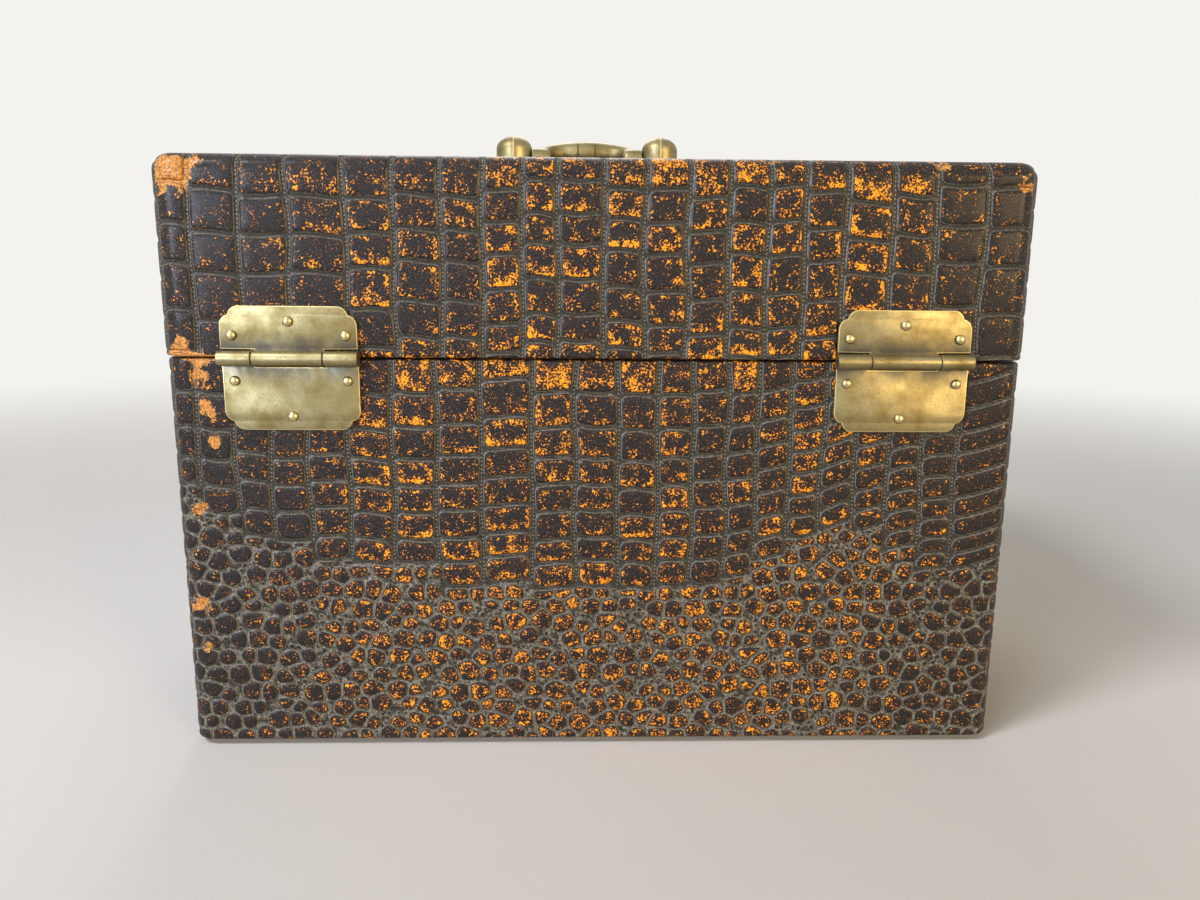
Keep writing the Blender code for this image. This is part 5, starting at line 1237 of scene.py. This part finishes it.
half = [(ELBOW_X, y, ARM_RADIUS) for y in (1.0, 4.0, 7.0, 10.0)]
bend = arc((ELBOW_X - BAIL_CORNER, BAIL_REACH - BAIL_CORNER), BAIL_CORNER, 0, 90, 22)
half += [(x, y, grip_radius(x)) for x, y in bend]
half += [(x, BAIL_REACH, grip_radius(x)) for x in np.linspace(8.2, RING_HALF + GROOVE, 8)]
for x, depth in ((4.55, 0.3), (4.4, 0.55), (4.25, 0.62), (4.1, 0.55), (3.95, 0.3), (3.85, 0.0)):
    half.append((x, BAIL_REACH, grip_radius(x) - depth))
half += [(x, BAIL_REACH, grip_radius(x)) for x in (2.6, 1.3)]
path = half + [(0, BAIL_REACH, grip_radius(0))] + [(-x, y, r) for x, y, r in reversed(half)]
lean = Matrix.Rotation(math.pi, 4, "Z") @ Matrix.Rotation(BAIL_LEAN, 4, "X")
shapes = [swept("grip", path, 40, placed(HANDLE_X, CASE_CENTRE_Y, PIVOT_Z) @ lean)]
for sign in (-1, 1):
    elbow = [(0, 16.7), (1.6, 16.7), *arc((2.0, 18.9), 2.2, -88, 0, 7), (4.2, 25.0), (4.1, 25.1)]
    elbow += [(TRUNNION, 25.1), (TRUNNION, 34.1), (0, 34.4)]
    ways = ((0, sign, 0), (0, 0, 1), (sign, 0, 0))
    shapes.append(turned("elbow", elbow, 48, placed(HANDLE_X, CASE_CENTRE_Y, PIVOT_Z, ways)))
fitting("bail", joined("bail_fine", shapes), "bail")

# Room. A plain pale floor and a white surround, with four soft boxes: one above to the left of
# the photograph, a cool one low on that side, one to its right, and one over the back.
floor_finish, tree, shader, place = new_finish("pale_floor", {"Roughness": 0.75})
patch = add(tree, "TexNoise", {"Vector": place, "Scale": 3.0, "Detail": 3.0})
colour = add(tree, "Mix", {0: patch, 6: "#d6d2cb", 7: "#dcd9d3"}, data_type="RGBA")
give(tree, shader, {"Base Color": colour})
away = add(tree, "VectorMath", [place], operation="LENGTH").outputs["Value"]
far = add(tree, "MapRange", [away, 0.35, 1.5], **SMOOTH)
seen = add(tree, "LightPath").outputs
seen = add(tree, "Math", [seen["Is Camera Ray"], seen["Is Glossy Ray"]], operation="MAXIMUM")
far = add(tree, "Math", [far, seen], operation="MULTIPLY")
glow = add(tree, "Emission", ["#f4f2ee", 1.0])
laid = add(tree, "MixShader", [far, shader, glow])
give(tree, tree.nodes["Material Output"], {"Surface": laid})
bm = bmesh.new()
bmesh.ops.create_grid(bm, x_segments=8, y_segments=8, size=6.0)
mesh = bpy.data.meshes.new("floor")
bm.to_mesh(mesh)
bm.free()
mesh.materials.append(floor_finish)
floor = stand("floor", mesh)

world = bpy.data.worlds.new("studio")
bpy.context.scene.world = world
world.use_nodes = True
tree = world.node_tree
tree.nodes.clear()
ray = add(tree, "LightPath").outputs
seen = add(tree, "Math", [ray["Is Camera Ray"], ray["Is Glossy Ray"]], operation="MAXIMUM")
seen = add(tree, "Math", [seen, ray["Is Transmission Ray"]], operation="MAXIMUM")
backdrop = add(tree, "Background", ["#f4f2ee", 1.0])
ambient = add(tree, "Background", ["#ffffff", 0.15])
mixed = add(tree, "MixShader", [seen, ambient, backdrop])
add(tree, "OutputWorld", [mixed])

CASE_MIDDLE = Vector((0, 0, 0.12))
for name, at, size, power, fan, warmth in (
    ("soft_box_key", (0.75, 0.66, 1.2), 0.4, 14.0, 180, "#f6f7ff"),
    ("soft_box_window", (0.8, 1.15, 0.36), 0.5, 1.2, 45, "#d8e4fa"),
    ("soft_box_right", (-0.84, 1.1, 0.36), 0.55, 1.0, 45, "#ffdc9c"),
    ("soft_box_back", (0.1, -1.1, 1.1), 0.9, 8.0, 180, "#ffffff"),
):
    lamp = bpy.data.lights.new(name, "AREA")
    lamp.shape = "DISK"
    lamp.size = size
    lamp.energy = power
    lamp.spread = math.radians(fan)
    lamp.color = tone(warmth)[:3]
    piece = stand(name, lamp)
    piece.location = at
    piece.rotation_euler = (CASE_MIDDLE - Vector(at)).to_track_quat("-Z", "Y").to_euler()

# Camera. It stands behind the case and a little above its middle, as in the photograph.
CAMERA_AT = Vector((8.4, 437.45, 181.2)) * MM
CAMERA_WAY = Vector((-0.0267, -0.9821, -0.1865))
CAMERA_ROLL = math.radians(0.47)
lens = bpy.data.cameras.new("camera")
lens.lens = 27.03
lens.sensor_width = 36.0
lens.clip_start = 0.01
camera = stand("camera", lens)
turn = CAMERA_WAY.to_track_quat("-Z", "Y").to_matrix() @ Matrix.Rotation(CAMERA_ROLL, 3, "Z")
camera.matrix_world = Matrix.Translation(CAMERA_AT) @ turn.to_4x4()
bpy.context.scene.camera = camera
bpy.context.scene.view_settings.view_transform = "Standard"
